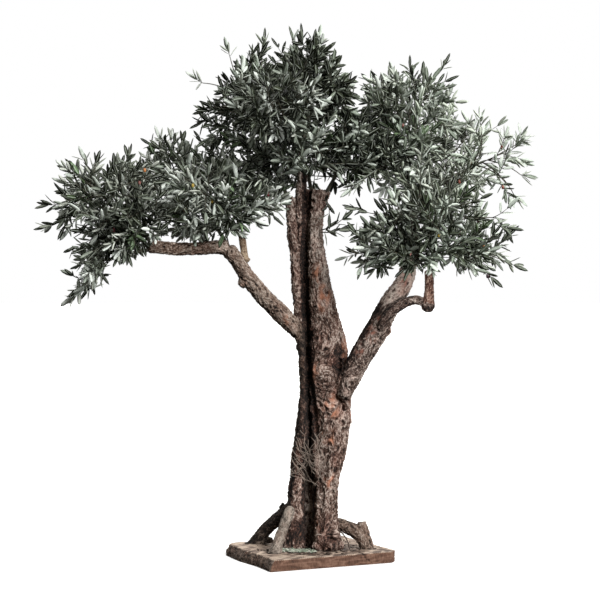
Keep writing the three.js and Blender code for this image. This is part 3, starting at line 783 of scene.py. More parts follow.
# The rotted hollow in that top: [x, y], the height of the top, how wide and how deep it is
HOLLOW_MIDDLE = [33, 0]
HOLLOW_TOP = 1462
HOLLOW_REACH = 24
HOLLOW_DEPTH = 46


def sink_hollow(piece):
    points, normals = mesh_arrays(piece.data)
    far = np.linalg.norm(points[:, :2] - HOLLOW_MIDDLE, axis=1) / HOLLOW_REACH
    inside = (points[:, 2] > HOLLOW_TOP - 16) & (far < 1) & (normals[:, 2] > 0.3)
    points[inside, 2] -= HOLLOW_DEPTH * (1 - far[inside] ** 2)
    move_vertices(piece.data, points)


def build_trunk():
    logs = list(TRUNK_LOGS.values())
    parts = [limb_tube(stations) for stations in logs]
    parts += [ball(*knob) for knob in TRUNK_KNOBS + FOOT_BURLS]
    parts += [limb_tube(strand, 12) for strand in TRUNK_STRANDS + [TRUNK_LIP]]
    parts += [limb_tube([on_main_log(*point) for point in strand], 10) for strand in SWIRL_STRANDS]
    piece = make_object("trunk_bark", *join(parts), [BARKS["trunk"]])
    carve_bark(
        piece, logs, depth=6.0, voxel=3.7, knots=TRUNK_KNOTS, patches=TRUNK_PATCHES,
        hollows=TRUNK_HOLLOWS, damp=TRUNK_PAINTED_SHADE, pale=TRUNK_PAINTED_LIGHT, stretch=0.4, grooved=True,
    )
    sink_hollow(piece)
    cut_at_board(piece)
    place(piece, "bark", "trunk")
    return piece


# The right bough is darkened as painted shade along its upper left edge and at its foot, and lightened as
# painted light high up
BOUGH_PAINTED_SHADE = [[112, -84, 760, 36], [160, -70, 840, 34], [212, -60, 925, 32], [262, -50, 995, 30]]
BOUGH_PAINTED_LIGHT = [[325, -40, 1020, 46], [355, -30, 1070, 50], [390, -10, 1120, 54], [400, 0, 1180, 50]]
# The far side of the rear prop, lightened as painted light against the painted shade of its dark bark
REAR_PROP_PAINTED_LIGHT = [
    [-95, 72, 190, 42], [-130, 92, 152, 44], [-172, 112, 112, 44], [-215, 134, 70, 44],
    [-252, 150, 30, 44],
]
# How much paler those spots of painted light are than the bark round them
PAINTED_LIGHT_SHARE = 0.42


def build_boughs():
    foot_strand = [
        [-119, -66, 980, 28], [-60, -54, 922, 24], [-36, -50, 856, 16], [-30, -46, 776, 12],
        [-28, -42, 700, 7],
    ]
    # The left bough shares the trunk's spots of painted shade.
    build_limb(
        "left_bough", "bough", "bark", [limb_tube(foot_strand, 16)], depth=4.2, voxel=3.0,
        patches=[[-90, -100, 950, 18], [-262, -110, 1096, 14]], damp=TRUNK_PAINTED_SHADE, grooved=True,
    )
    sawn_end = limb_tube([[-596, -141, 1239, 26], [-629, -148, 1241, 25]], 20, rounded=False)
    # The left arm's palest bark is painted light.
    build_limb("left_arm", "arm", "bark", [sawn_end], depth=3.6, voxel=2.8)
    ring = ball(-255, -88, 1192, 20, 20, 9)
    build_limb("left_stub", "tan", "tan_bark", [ring], depth=1.4, voxel=2.2, smooth_share=0.3)
    build_limb(
        "right_bough", "furrowed", "bark", depth=4.6, voxel=3.0,
        knots=[[300, -60, 930, 30], [160, -116, 680, 40]],
        patches=[[240, -88, 900, 26], [196, -96, 830, 20], [280, -80, 960, 18], [380, -34, 1110, 30]],
        damp=BOUGH_PAINTED_SHADE, pale=BOUGH_PAINTED_LIGHT, pale_share=PAINTED_LIGHT_SHARE, base=0.14,
    )
    arm_strand = [[272, -84, 916, 10], [292, -97, 950, 17], [326, -106, 990, 20], [371, -108, 1020, 19]]
    # The right arm's low base darkens it all along as painted shade.
    build_limb(
        "right_arm", "furrowed", "bark", [limb_tube(arm_strand, 16)], depth=2.6, voxel=2.4, base=0.03
    )
    build_limb("right_stub", "red", "red_bark", depth=2.0, voxel=2.4)
    side_roots = [
        limb_tube([[-104, 40, 186, 8], [-110, 38, 214, 6]], 10),
        limb_tube([[-140, 60, 130, 8], [-150, 50, 112, 6]], 10),
    ]
    # The rear prop's dark bark and low base are painted shade, lightened as painted light on its far side.
    build_limb(
        "prop_rear_left", "dark", "dark_bark", side_roots, depth=3.4, voxel=2.6,
        pale=REAR_PROP_PAINTED_LIGHT, pale_share=PAINTED_LIGHT_SHARE, base=0.02,
    )
    build_limb("prop_front_left", "pale", "pale_bark", depth=2.2, voxel=2.4, smooth_share=0.25)
    knob = limb_tube([[214, -41, 92, 27], [208, -38, 126, 22], [205, -36, 150, 16]], 14, rounded=False)
    build_limb("prop_right", "bough", "bark", [knob], depth=3.0, voxel=2.4, base=0.12)


build_boughs()
trunk = build_trunk()


# Base board: sawn top and sides, with one bark-covered side that slopes outwards
BOARD_WIDTH = 544
BOARD_DEPTH = 488
BOARD_TURN = math.radians(25)
BOARD_VOXEL = 3.6
WANEY_SLOPE = 20
END_FACET = 30
# How wide the forms of its faces are. The saw's waves are 2 pi times as long as their value.
BOARD_FIBRE_MM = 12
BOARD_LUMP_MM = 60
SAW_WAVE_MM = 3.4
SAW_SWAY_MM = 30
WANEY_BARK_MM = 18
# The crack in the front edge, in the board's own directions: a point on it, half its width, where
# it starts and ends, and how far it reaches back
CRACK_X = 120
CRACK_Z = 40
CRACK_HALF_WIDTH = 2.2
CRACK_START = 60
CRACK_END = 200
CRACK_BACK = -190
# The dirt and painted shadow round the feet
DIRT_AND_SHADOW_MIDDLE = [10, -70]
DIRT_AND_SHADOW_REACH = [170, 110]


def board_outline(slope):
    half_width = BOARD_WIDTH / 2
    half_depth = BOARD_DEPTH / 2
    return np.array([
        [-half_width + 8 - slope, -half_depth - slope * 0.2],
        [half_width - END_FACET, -half_depth],
        [half_width, -half_depth + END_FACET],
        [half_width - 14, half_depth],
        [-half_width + 38, half_depth],
        [-half_width + 12 - slope, half_depth - 34],
        [-half_width + 4 - slope * 1.15, 40],
        [-half_width + 12 - slope * 0.9, -110],
    ])


def turned(points, angle):
    cos = math.cos(angle)
    sin = math.sin(angle)
    x, y, *rest = np.moveaxis(points, -1, 0)
    return np.stack([cos * x - sin * y, sin * x + cos * y, *rest], -1)


def build_board():
    rings = []
    for height, share in ((0, 1.0), (BOARD_TOP * 0.45, 0.85), (BOARD_TOP, 0.0)):
        outline = board_outline(WANEY_SLOPE * share)
        rings.append(np.column_stack([outline, np.full(len(outline), height)]))
    vertices = turned(np.vstack(rings), BOARD_TURN)
    materials = [
        # The worn top: greyed and pale, with long growth bands
        sawn_wood_material("worn_plank_top", "#66544a", "#cfbba8", "#15100b", 9, (0.25, 1.6, 1.6)),
        # The rough edges: browner and darker than the top, with bands that run across them
        sawn_wood_material("rough_sawn_edge", "#593f32", "#75594a", "#2e2019", 7, (1.5, 1.5, 0.5)),
        # The side that kept its bark: dark brown and ragged
        bark_material("waney_edge_bark", "#0f0b08", "#332923", "#75655a", "#4a332a", 8),
    ]
    faces = ring_faces(len(rings), len(rings[0]))
    piece = make_object("base_board_sawn", vertices, faces, materials)
    remesh(piece, BOARD_VOXEL)
    carve_board(piece)
    place(piece, "board_wood", "base_board")


def carve_board(piece):
    """Gives the board its fibres, saw marks, bark, crack and dirt, and each face its material. The crack is
    darkened as painted shade, and the dirt round the feet is partly painted shadow.
    """
    mesh = piece.data
    points, normals = mesh_arrays(mesh)
    local = turned(points, -BOARD_TURN)
    facing = turned(normals, -BOARD_TURN)
    x, y, z = local.T
    top = np.clip((facing[:, 2] - 0.5) * 3, 0, 1)
    waney = np.clip((-facing[:, 0] - 0.45) * 4, 0, 1) * (1 - top)
    sawn = 1 - np.maximum(top, waney)
    fibres = 2 * ridges(local * [0.22, 1, 1], BOARD_FIBRE_MM, 0.2) - 1
    lumps = rolling(local, BOARD_LUMP_MM)
    teeth = np.sin(x / SAW_WAVE_MM + 3 * rolling(local, SAW_SWAY_MM))
    bark = 2 * ridges(local * [1, 1, 0.7], WANEY_BARK_MM, 0.2) - 1
    crack_line = (x - CRACK_X) * 0.6 + (z - CRACK_Z) * 0.5 + 5 * rolling(local, 14)
    crack = np.exp(-((crack_line / CRACK_HALF_WIDTH) ** 2)) * np.clip((CRACK_BACK - y) / 20, 0, 1)
    crack *= np.clip((x - CRACK_START) / 40, 0, 1) * np.clip((CRACK_END - x) / 60, 0, 1)
    from_feet = np.linalg.norm((points[:, :2] - DIRT_AND_SHADOW_MIDDLE) / DIRT_AND_SHADOW_REACH, axis=1)
    dirt_and_shadow = top * np.clip(1.5 - from_feet, 0, 1) * np.clip(0.6 + 1.4 * rolling(local, 16), 0, 1)
    height = top * (0.9 * fibres + 1.2 * lumps) + sawn * (0.8 * teeth + 0.9 * fibres)
    height += waney * (2.8 * bark + 3 * lumps) - 3.2 * crack - 1.2
    underside = points[:, 2] < 1.5
    height[underside] = 0
    moved = points + normals * height[:, None]
    moved[:, 2] = np.clip(moved[:, 2], 0, BOARD_TOP)
    move_vertices(mesh, moved)
    # The tone is darkened in the crack as painted shade, and round the feet by dirt and painted shadow.
    store(mesh, "relief", np.clip(0.5 + 0.2 * fibres + 0.14 * lumps - 0.6 * crack - 0.6 * dirt_and_shadow, 0, 1))
    store(mesh, "grain", local * MM, "FLOAT_VECTOR")
    store(mesh, "patch", np.zeros(len(points)))
    corners = np.empty(len(mesh.loops), np.int32)
    mesh.loops.foreach_get("vertex_index", corners)
    starts = np.empty(len(mesh.polygons), np.int32)
    mesh.polygons.foreach_get("loop_start", starts)
    kinds = np.where(top > 0.5, 0, np.where(waney > 0.35, 2, 1))[corners[starts]]
    mesh.polygons.foreach_set("material_index", kinds.astype(np.int32))
    shade(mesh)


build_board()


# Foliage: the same masses, stems and twigs as the solids, grown on to fine twigs and real leaves.
# A mass has its stem's root, its middle and reach, its number of twigs, the tips of its outline as
# the photo shows them, and lines [across, up, limit] past which nothing grows. Its light shift
# makes its sprays pale as painted light where high and dark as painted shade where low, and green
# makes them fresh. Fullness is the share of its sprays that grow, and bare the share of its stem
# without any. Where low says skirt, the stem's sprays may hang out of the mass.
MASSES = {
    "foliage_left_outer": {
        "root": [-612, -146, 1242], "centre": [-772, -180, 1410],
        "reach": [296, 270, 214], "twigs": 13, "painted_light_and_shade": -0.45, "fullness": 0.86, "seed": 11,
        "cuts": [(-1, 0, 950), (0.42, -1, -1512)],
        "tips": [[-1064, -170, 1402], [-1064, -190, 1300], [-990, -160, 1574], [-690, -170, 1632]],
    },
    "foliage_left_droop": {
        "root": [-590, -142, 1232], "centre": [-795, -180, 1178],
        "reach": [190, 190, 165], "twigs": 6, "seed": 23, "fullness": 0.5, "low": "skirt",
        "cuts": [(1, -0.6, -1490), (-1, 0.47, 1443)],
        "tips": [[-955, -180, 1012], [-878, -170, 1032]],
    },
    "foliage_left_inner": {
        "root": [-266, -88, 1270], "centre": [-400, -120, 1438],
        "reach": [318, 260, 200], "twigs": 12, "painted_light_and_shade": 0.5, "seed": 31,
        "cuts": [(0, -1, -1275), (0.43, -1, -1422), (1, 0, -115)],
        "tips": [[-90, -110, 1490], [-600, -130, 1300], [-490, -130, 1290]],
    },
    "foliage_left_back": {
        "root": [-300, -84, 1205], "centre": [-560, 330, 1530],
        "reach": [260, 270, 215], "twigs": 9, "seed": 43,
        "tips": [[-645, 330, 1748], [-800, 340, 1600]],
    },
    "foliage_centre_left": {
        "root": [-80, 0, 1415], "centre": [-262, 10, 1814],
        "reach": [236, 250, 275], "twigs": 12, "fullness": 0.92, "painted_light_and_shade": -1.15, "green": 0.12, "seed": 57,
        "cuts": [(-0.8, 0.6, 1392), (0, 1, 2066)],
        "tips": [[-493, 10, 1935], [-461, 10, 1782], [-341, 0, 2072], [-170, 10, 2112]],
    },
    "foliage_centre_top": {
        "root": [-34, 10, 1620], "centre": [16, -10, 1856],
        "reach": [186, 240, 262], "twigs": 11, "painted_light_and_shade": -1.2, "green": 0.12, "fullness": 0.94, "seed": 67,
        "cuts": [(0.86, 0.51, 1088), (0, 1, 2074)],
        "tips": [[-40, -10, 2120], [38, -20, 2113], [139, -20, 1966]],
    },
    "foliage_centre_front": {
        "root": [-34, 4, 1560], "centre": [-125, -320, 1770],
        "reach": [212, 200, 165], "twigs": 8, "painted_light_and_shade": -1.45, "seed": 71,
        "tips": [[-290, -330, 1700], [40, -330, 1730]],
    },
    "foliage_centre_back": {
        "root": [12, 12, 1440], "centre": [-82, 350, 1838],
        "reach": [240, 260, 232], "twigs": 9, "seed": 83,
        "tips": [[-90, 360, 2080]],
    },
    "foliage_centre_right": {
        "root": [54, -4, 1440], "centre": [182, -10, 1640],
        "reach": [190, 240, 200], "twigs": 8, "painted_light_and_shade": -0.9, "green": 0.16, "bare": 0.45, "seed": 89,
        "tips": [[60, -60, 1560], [230, -20, 1520]],
    },
    "foliage_right_upper": {
        "root": [395, 50, 1470], "centre": [400, 40, 1760],
        "reach": [280, 250, 252], "twigs": 12, "painted_light_and_shade": 0.4, "green": 0.15, "seed": 97,
        "cuts": [(0, 1, 1935)],
        "tips": [[282, 40, 1936], [402, 30, 2006], [564, 40, 2014], [200, 40, 1800]],
    },
    "foliage_right_outer": {
        "root": [400, 42, 1400], "centre": [694, -10, 1570],
        "reach": [207, 240, 232], "twigs": 10, "painted_light_and_shade": 0.9, "fullness": 0.23, "green": 0.15, "seed": 101,
        "stem_shown": (5.0, 1.4),
        "tips": [[678, 0, 1806], [881, -20, 1690], [897, -10, 1518], [857, -20, 1411]],
    },
    "foliage_right_lower": {
        "root": [466, -132, 1128], "centre": [495, -215, 1296],
        "reach": [388, 250, 217], "twigs": 15, "fullness": 0.86, "green": 0.15, "seed": 113,
        "cuts": [(1, 0, 780), (-1, 0, -150), (0, -1, -1150)],
        "tips": [
            [832, -200, 1148], [735, -200, 1092], [96, -190, 1187], [134, -200, 1396],
            [115, -200, 1303],
        ],
    },
    "foliage_right_back": {
        "root": [404, 30, 1310], "centre": [569, 350, 1578],
        "reach": [273, 260, 260], "twigs": 9, "seed": 127,
        "cuts": [(1, 0, 700)],
        "tips": [[700, 350, 1780]],
    },
}
# The masses' spaces: how far past its reach a mass may spread, and the gap between neighbours
SPACE_OVERHANG = 1.15
SPACE_GAP = 1.5
LIMB_GAP = 5
STEM_RADIUS = 13
# A stem runs on past its mass's middle and arches, as shares of the way from its root to there
STEM_RUN_ON = 0.3
STEM_ARCH = 0.12
# Twigs: how far out they aim, where they may leave the stem, how much they bend, and their room
TIP_AIM = 0.72
TWIG_FOOT = (0.36, 0.98)
TWIG_BEND = 0.16
TWIG_MARGIN = 60
TWIG_ROOM = 6
TWIG_HALF_WIDTH = 8
# Tubes that show: radius at the start and end, and sides
STEM_SHOWN = (8.5, 2.6)
STEM_SIDES = 8
TWIG_TUBE = (2.9, 1.6, 6)
LOG_TWIG_TUBE = (2.6, 1.4, 6)
SPRAY_TUBE = (1.6, 1.0, 4)
# Where the sprays, which are fine twigs with leaves, leave a twig and a stem, as shares of its length
SPRAY_PLACES = [0.26, 0.37, 0.47, 0.56, 0.64, 0.72, 0.79, 0.86, 0.93, 1.0]
STEM_PLACES = [0.14, 0.24, 0.33, 0.42, 0.5, 0.58, 0.66, 0.74, 0.82, 0.9]
# A spray is made shorter in these steps until it fits
SPRAY_LENGTH = 200
SPRAY_SIZES = [1.0, 0.84, 0.7, 0.56, 0.44]
SPRAY_HALF_WIDTH = 6
SPRAY_OVERLAP = 60
# How deep in its mass a spray has to end, least and most, as a share of the mass's mean reach
PLAIN_MARGIN = (0.27, 0.52)
TIP_MARGIN = (0.26, 0.44)
# The lowest that sprays of the centre masses end, elsewhere and in front of the trunk's top
SKIRT_BOTTOM = 1490
TRUNK_VIEW_BOTTOM = 1560
LEAF_SPACING = 21
LEAF_LENGTH = 67
LEAF_WIDTH = 15.5
STRAY_LEAF = 48
# How many leaves are missing, and how far a leaf opens from its spray: degrees, and what is added
MISSING_LEAVES = 0.08
LEAF_OPENING = (24, 48)


def seeded(seed):
    """Random numbers from a seed, the same in every run."""
    state = seed
    for _ in range(3):
        state = (state * 16807) % 2147483647

    def draw():
        nonlocal state
        state = (state * 16807) % 2147483647
        return state / 2147483647

    return draw


def bezier(curve, t):
    p0, p1, p2 = curve
    t = np.atleast_1d(np.asarray(t, float))[:, None]
    return (1 - t) ** 2 * p0 + 2 * (1 - t) * t * p1 + t**2 * p2


def bezier_direction(curve, t):
    p0, p1, p2 = curve
    t = np.atleast_1d(np.asarray(t, float))[:, None]
    return unit((1 - t) * (p1 - p0) + t * (p2 - p1))


def prepare_mass(mass):
    """Turns a mass's places into arrays and adds its stem, which arches past its middle."""
    for key in ("root", "centre", "reach"):
        mass[key] = np.array(mass[key], float)
    mass["mean_reach"] = mass["reach"].mean()
    away = mass["centre"] - mass["root"]
    end = mass["centre"] + STEM_RUN_ON * away
    bend = (mass["root"] + end) / 2 + [0, 0, STEM_ARCH * np.linalg.norm(away)]
    mass["stem"] = (mass["root"], bend, end)


def depth_in_space(mass, points, overlap=0.0):
    """How far points lie inside a mass's space, in millimetres: negative outside it."""
    points = np.atleast_2d(points)
    scaled = np.linalg.norm((points - mass["centre"]) / mass["reach"], axis=1)
    depth = (SPACE_OVERHANG - scaled) * mass["mean_reach"]
    own = ((points - mass["centre"]) ** 2).sum(1) - mass["mean_reach"] ** 2
    for other in MASSES.values():
        if other is mass:
            continue
        theirs = ((points - other["centre"]) ** 2).sum(1) - other["mean_reach"] ** 2
        apart = np.linalg.norm(mass["centre"] - other["centre"])
        depth = np.minimum(depth, (theirs - own) / (2 * apart) - SPACE_GAP + overlap)
    return depth


def gather_obstacles():
    """Wood and stems as rows of balls, [x, y, z, radius], with the name of what each belongs to."""
    owners = []
    balls = []

    def add(owner, centres, radii):
        owners.extend([owner] * len(centres))
        balls.append(np.column_stack([centres, radii]))

    for stations in TRUNK_LOGS.values():
        centres, _, sizes = along_limb(stations, np.linspace(0, 1, 91))
        add("trunk", centres, sizes.max(1))
    for name, limb in LIMBS.items():
        centres, _, sizes = along_limb(limb["stations"], np.linspace(0, 1, 51))
        add(name, centres, sizes.max(1))
        for knob in limb.get("knobs", []):
            add(name, np.array([knob[:3]]), [max(knob[3:])])
    for name, mass in MASSES.items():
        centres = bezier(mass["stem"], np.linspace(0, 1, 61))
        add(name, centres, np.full(len(centres), STEM_RADIUS))
    return np.array(owners), np.vstack(balls)


for one_mass in MASSES.values():
    prepare_mass(one_mass)
OWNERS, WOOD_BALLS = gather_obstacles()


def clear_of_wood(name, points, half_width):
    """True for each point that keeps off the wood and off the other masses' stems."""
    balls = WOOD_BALLS[OWNERS != name]
    apart = np.linalg.norm(points[:, None] - balls[None, :, :3], axis=2)
    return (apart > balls[None, :, 3] + half_width + LIMB_GAP).all(1)


def twig_targets(mass, draw):
    """Where the twigs end: the outline tips, then directions spread evenly round the middle."""
    targets = [mass["centre"] + TIP_AIM * (np.array(tip) - mass["centre"]) for tip in mass["tips"]]
    rest = mass["twigs"] - len(targets)
    turn = draw() * 2 * math.pi
    for i in range(rest):
        height = 1 - (2 * (i + 0.5)) / rest
        around = math.sqrt(1 - height * height)
        angle = turn + i * GOLDEN_ANGLE
        level = 0.5 + 0.28 * draw()
        direction = np.array([math.cos(angle) * around, math.sin(angle) * around, height])
        targets.append(mass["centre"] + direction * mass["reach"] * level)
    return targets


def drawn_in(mass, target):
    """The target, drawn towards the middle until it stands inside the space."""
    end = target.copy()
    for _ in range(30):
        if depth_in_space(mass, end)[0] >= TWIG_MARGIN:
            break
        end = end + 0.06 * (mass["centre"] - end)
    return end


def twig_curve(mass, target, draw):
    """A twig leaves the stem a little below its target and bends towards it."""
    shares = np.arange(0.4, 1.0001, 0.05)
    points = bezier(mass["stem"], shares)
    apart = np.linalg.norm(points - target, axis=1)
    apart[depth_in_space(mass, points) <= 10] = np.inf
    nearest = shares[apart.argmin()] if np.isfinite(apart).any() else 0.4
    u = np.clip(nearest - 0.24 + 0.12 * draw(), *TWIG_FOOT)
    foot = bezier(mass["stem"], u)[0]
    reach = np.linalg.norm(target - foot)
    bend = (foot + target) / 2 + bezier_direction(mass["stem"], u)[0] * reach * TWIG_BEND
    return foot, bend, target


def twig_fits(name, mass, curve):
    points = bezier(curve, np.arange(2, 13) / 12)
    roomy = depth_in_space(mass, points) >= TWIG_ROOM
    return roomy.all() and clear_of_wood(name, points, TWIG_HALF_WIDTH).all()


def main_twigs(name, mass):
    """The twigs that the solids have, as (curve, kind, outline tip or None).

    They come from the solids' rule and random numbers. A twig that fits uses one number more there,
    so it does here too.
    """
    draw = seeded(mass["seed"])
    twigs = []
    for number, target in enumerate(twig_targets(mass, draw)):
        curve = twig_curve(mass, drawn_in(mass, target), draw)
        if twig_fits(name, mass, curve):
            draw()
            named = number < len(mass["tips"])
            twigs.append((curve, "plain", np.array(mass["tips"][number], float) if named else None))
    return twigs


def spray_fits(name, mass, curve, margin):
    """A spray stays in its mass, may cross a little into the next one, and keeps off the wood."""
    points = bezier(curve, [0.3, 0.5, 0.75, 1.0])
    x, y, z = points[-1]
    if any(across * x + up * z > limit for across, up, limit in mass.get("cuts", [])):
        return False
    if "centre" in name and z < (TRUNK_VIEW_BOTTOM if abs(x - 4) < 95 and y < 60 else SKIRT_BOTTOM):
        return False
    if margin is not None and (depth_in_space(mass, points, SPRAY_OVERLAP) <= [0, 0, 0, margin]).any():
        return False
    return clear_of_wood(name, points, SPRAY_HALF_WIDTH).all()


def grow_spray(name, mass, foot, along, angle, length, margin, at_tip, draw):
    """One fine twig, as long as its place allows. It bends upwards or hangs a little."""
    right, out = (v[0] for v in cross_frame(along[None]))
    side = math.cos(angle) * right + math.sin(angle) * out
    stray = np.array([draw() - 0.5, draw() - 0.5, draw() - 0.36])
    spread = 0.2 if at_tip else 0.78
    direction = unit(along * 0.6 + side * spread + stray * 1.1 * spread)
    lift = 0.55 * (draw() - 0.38)
    for size in SPRAY_SIZES:
        reach = length * size
        tip = foot + direction * reach + np.array([0, 0, lift * reach * 0.5])
        middle = foot + direction * reach * 0.5 - np.array([0, 0, lift * reach * 0.22])
        if spray_fits(name, mass, (foot, middle, tip), margin):
            return foot, middle, tip
    return None


def stray_spray(foot, along, tip):
    """A spray that stands out of the crown and ends in a leaf at a tip of the outline."""
    away = unit(tip - foot)
    end = tip - away * STRAY_LEAF
    return foot, (foot + end) / 2 + (along - away) * np.linalg.norm(end - foot) * 0.2, end


def sprays_of(name, mass, curve, kind, tip, draw):
    """Fine twigs that wind round one twig or stem. A twig's last one grows on from its tip."""
    places = SPRAY_PLACES
    if curve is mass["stem"]:
        places = [u for u in STEM_PLACES if u >= mass.get("bare", 0)]
    sprays = []
    turn = 2 * math.pi * draw()
    for number, u in enumerate(places):
        at_tip = u == 1.0
        if draw() > mass.get("fullness", 1.0) and not at_tip:
            continue
        foot = bezier(curve, u)[0]
        along = bezier_direction(curve, u)[0]
        angle = turn + number * GOLDEN_ANGLE
        length = SPRAY_LENGTH * (1.0 if at_tip else 0.54 + 0.42 * draw())
        if at_tip and tip is not None:
            sprays.append(stray_spray(foot, along, tip))
            continue
        least, most = TIP_MARGIN if at_tip else PLAIN_MARGIN
        margin = None if kind == "skirt" else (least + (most - least) * draw()) * mass["mean_reach"]
        spray = grow_spray(name, mass, foot, along, angle, length, margin, at_tip, draw)
        if spray is not None:
            sprays.append(spray)
    return sprays


def leaves_of(spray, draw):
    """Leaves in crossed pairs along a spray, with one at its tip: root, direction, face, size, roll."""
    length = np.linalg.norm(spray[2] - spray[0])
    count = max(3, int(length / LEAF_SPACING))
    shares = np.linspace(0.2, 0.96, count)
    points = bezier(spray, shares)
    along = bezier_direction(spray, shares)
    right, out = cross_frame(along)
    turn = 2 * math.pi * draw()
    rows = []
    for i in range(count):
        for hand in (0, 1):
            if draw() < MISSING_LEAVES:
                continue
            angle = turn + i * 1.5 + hand * math.pi + 0.9 * (draw() - 0.5)
            side = math.cos(angle) * right[i] + math.sin(angle) * out[i]
            opening = math.radians(LEAF_OPENING[0] + LEAF_OPENING[1] * draw()) * (1 - 0.3 * shares[i])
            direction = along[i] * math.cos(opening) + side * math.sin(opening)
            direction = direction + 0.5 * np.array([draw() - 0.5, draw() - 0.5, draw() - 0.5])
            face = along[i] * math.sin(opening) - side * math.cos(opening)
            face = face + 2.2 * (draw() - 0.5) * np.cross(direction, face)
            size = (0.72 + 0.42 * draw()) * (1 - 0.2 * shares[i])
            rows.append([*points[i], *direction, *face, size, draw()])
    tip_face = out[-1] + 1.2 * (draw() - 0.5) * right[-1]
    rows.append([*points[-1], *along[-1], *tip_face, 0.8 + 0.25 * draw(), draw()])
    return np.array(rows)


# A leaf has fourteen vertices: its root and tip, then left edge, right edge, rib on top and rib on
# the back at each of three shares of its length, with the half widths there
LEAF_VERTICES = 14
BLADE_SHARES = [0.2, 0.5, 0.82]
BLADE_WIDTHS = [0.68, 1.0, 0.72]
BLADE_FOLD = 0.34
BLADE_THICKNESS = 0.7
# How far from the rib each vertex is, as a share of the half width
FROM_RIB = [0.0, 0.5] + [1.0, 1.0, 0.0, 0.0] * 3


def blade_triangles(rib):
    """One face of the blade, over the rib that starts at this vertex."""
    return [
        (0, 3, rib), (0, rib, 2), (3, 7, rib + 4), (3, rib + 4, rib), (rib, rib + 4, 6), (rib, 6, 2),
        (7, 11, rib + 8), (7, rib + 8, rib + 4), (rib + 4, rib + 8, 10), (rib + 4, 10, 6),
        (11, 1, rib + 8), (rib + 8, 1, 10),
    ]


BLADE_TRIANGLES = np.array(blade_triangles(4) + [t[::-1] for t in blade_triangles(5)])


def leaf_vertices(rows):
    root, along, face, size, roll = rows[:, :3], rows[:, 3:6], rows[:, 6:9], rows[:, 9], rows[:, 10]
    along = unit(along)
    side = unit(np.cross(along, face))
    up = unit(np.cross(side, along))
    length = LEAF_LENGTH * size
    half = LEAF_WIDTH / 2 * (0.82 + 0.4 * roll) * size**0.6
    droop = (0.34 * np.mod(roll * 7, 1) - 0.05) * length
    vertices = [root, root + along * length[:, None] - up * droop[:, None]]
    for share, width in zip(BLADE_SHARES, BLADE_WIDTHS):
        middle = root + along * (length * share)[:, None] - up * (droop * share**2)[:, None]
        reach = side * (half * width)[:, None]
        rib = middle - up * (half * width * BLADE_FOLD)[:, None]
        vertices += [middle - reach, middle + reach, rib, rib - up * BLADE_THICKNESS]
    return np.stack(vertices, 1).reshape(-1, 3)


def triangle_mesh(name, vertices, triangles, materials, kinds):
    """A mesh of many triangles, written straight from arrays in millimetres."""
    mesh = bpy.data.meshes.new(name)
    mesh.vertices.add(len(vertices))
    mesh.vertices.foreach_set("co", (vertices * MM).astype(np.float32).ravel())
    mesh.loops.add(triangles.size)
    mesh.loops.foreach_set("vertex_index", triangles.astype(np.int32).ravel())
    mesh.polygons.add(len(triangles))
    mesh.polygons.foreach_set("loop_start", np.arange(0, triangles.size, 3, dtype=np.int32))
    for material in materials:
        mesh.materials.append(material)
    mesh.polygons.foreach_set("material_index", kinds.astype(np.int32))
    mesh.update(calc_edges=True)
    mesh.validate()
    return add_object(name, mesh)


# Leaf fabric from its dark green to its frosted print, with a matt grey green back
LEAF_TOP_TONES = [
    (0.0, "#0e1004"), (1.0, "#e2e7e0"), (0.3, "#222618"), (0.52, "#464c3d"), (0.7, "#7f877b"),
    (0.85, "#bcc3bb"),
]
LEAF_BACK_TONES = [(0.0, "#2e3227"), (1.0, "#cfd3c9"), (0.5, "#8b9083")]
# Shares of the sprays that are fresh green and frosted, and how far a leaf's tone is off its spray's
FRESH_SHARE = 0.05
PALE_SHARE = 0.07
LEAF_TONE_SPREAD = 0.48


def spray_tone(mass, paint):
    """A spray's tone and its share of fresh green."""
    # The mass's shift of tone towards pale is painted light, and towards dark is painted shade.
    painted_light_and_shade = mass.get("painted_light_and_shade", 0.0)
    tone = paint() ** (1 - painted_light_and_shade)
    fresh = mass.get("green", 0.0) * paint()
    kind = paint()
    if kind < FRESH_SHARE:
        return min(tone, 0.4), 0.62
    if kind > 1 - PALE_SHARE:
        return 0.7 + 0.22 * paint() + 0.12 * min(0.0, painted_light_and_shade), fresh
    return tone, fresh


def build_leaves(name, groups, materials):
    """All the leaves of one mass, given as (leaves, tone, fresh) for each spray."""
    rows = np.vstack([leaves for leaves, _, _ in groups])
    sizes = [len(leaves) for leaves, _, _ in groups]
    tone = np.repeat([tone for _, tone, _ in groups], sizes)
    fresh = np.repeat([fresh for _, _, fresh in groups], sizes)
    leaf_tone = np.clip(tone + LEAF_TONE_SPREAD * (rows[:, 10] - 0.5), 0, 1)
    triangles = BLADE_TRIANGLES[None] + LEAF_VERTICES * np.arange(len(rows))[:, None, None]
    kinds = np.tile(np.repeat([0, 1], len(BLADE_TRIANGLES) // 2), len(rows))
    leaves_name = name.replace("foliage", "leaves")
    piece = triangle_mesh(leaves_name, leaf_vertices(rows), triangles.reshape(-1, 3), materials, kinds)
    store(piece.data, "tone", np.repeat(leaf_tone, LEAF_VERTICES))
    store(piece.data, "fresh", np.repeat(fresh, LEAF_VERTICES))
    store(piece.data, "from_rib", np.tile(FROM_RIB, len(rows)))
    place(piece, "olive_foliage", name)


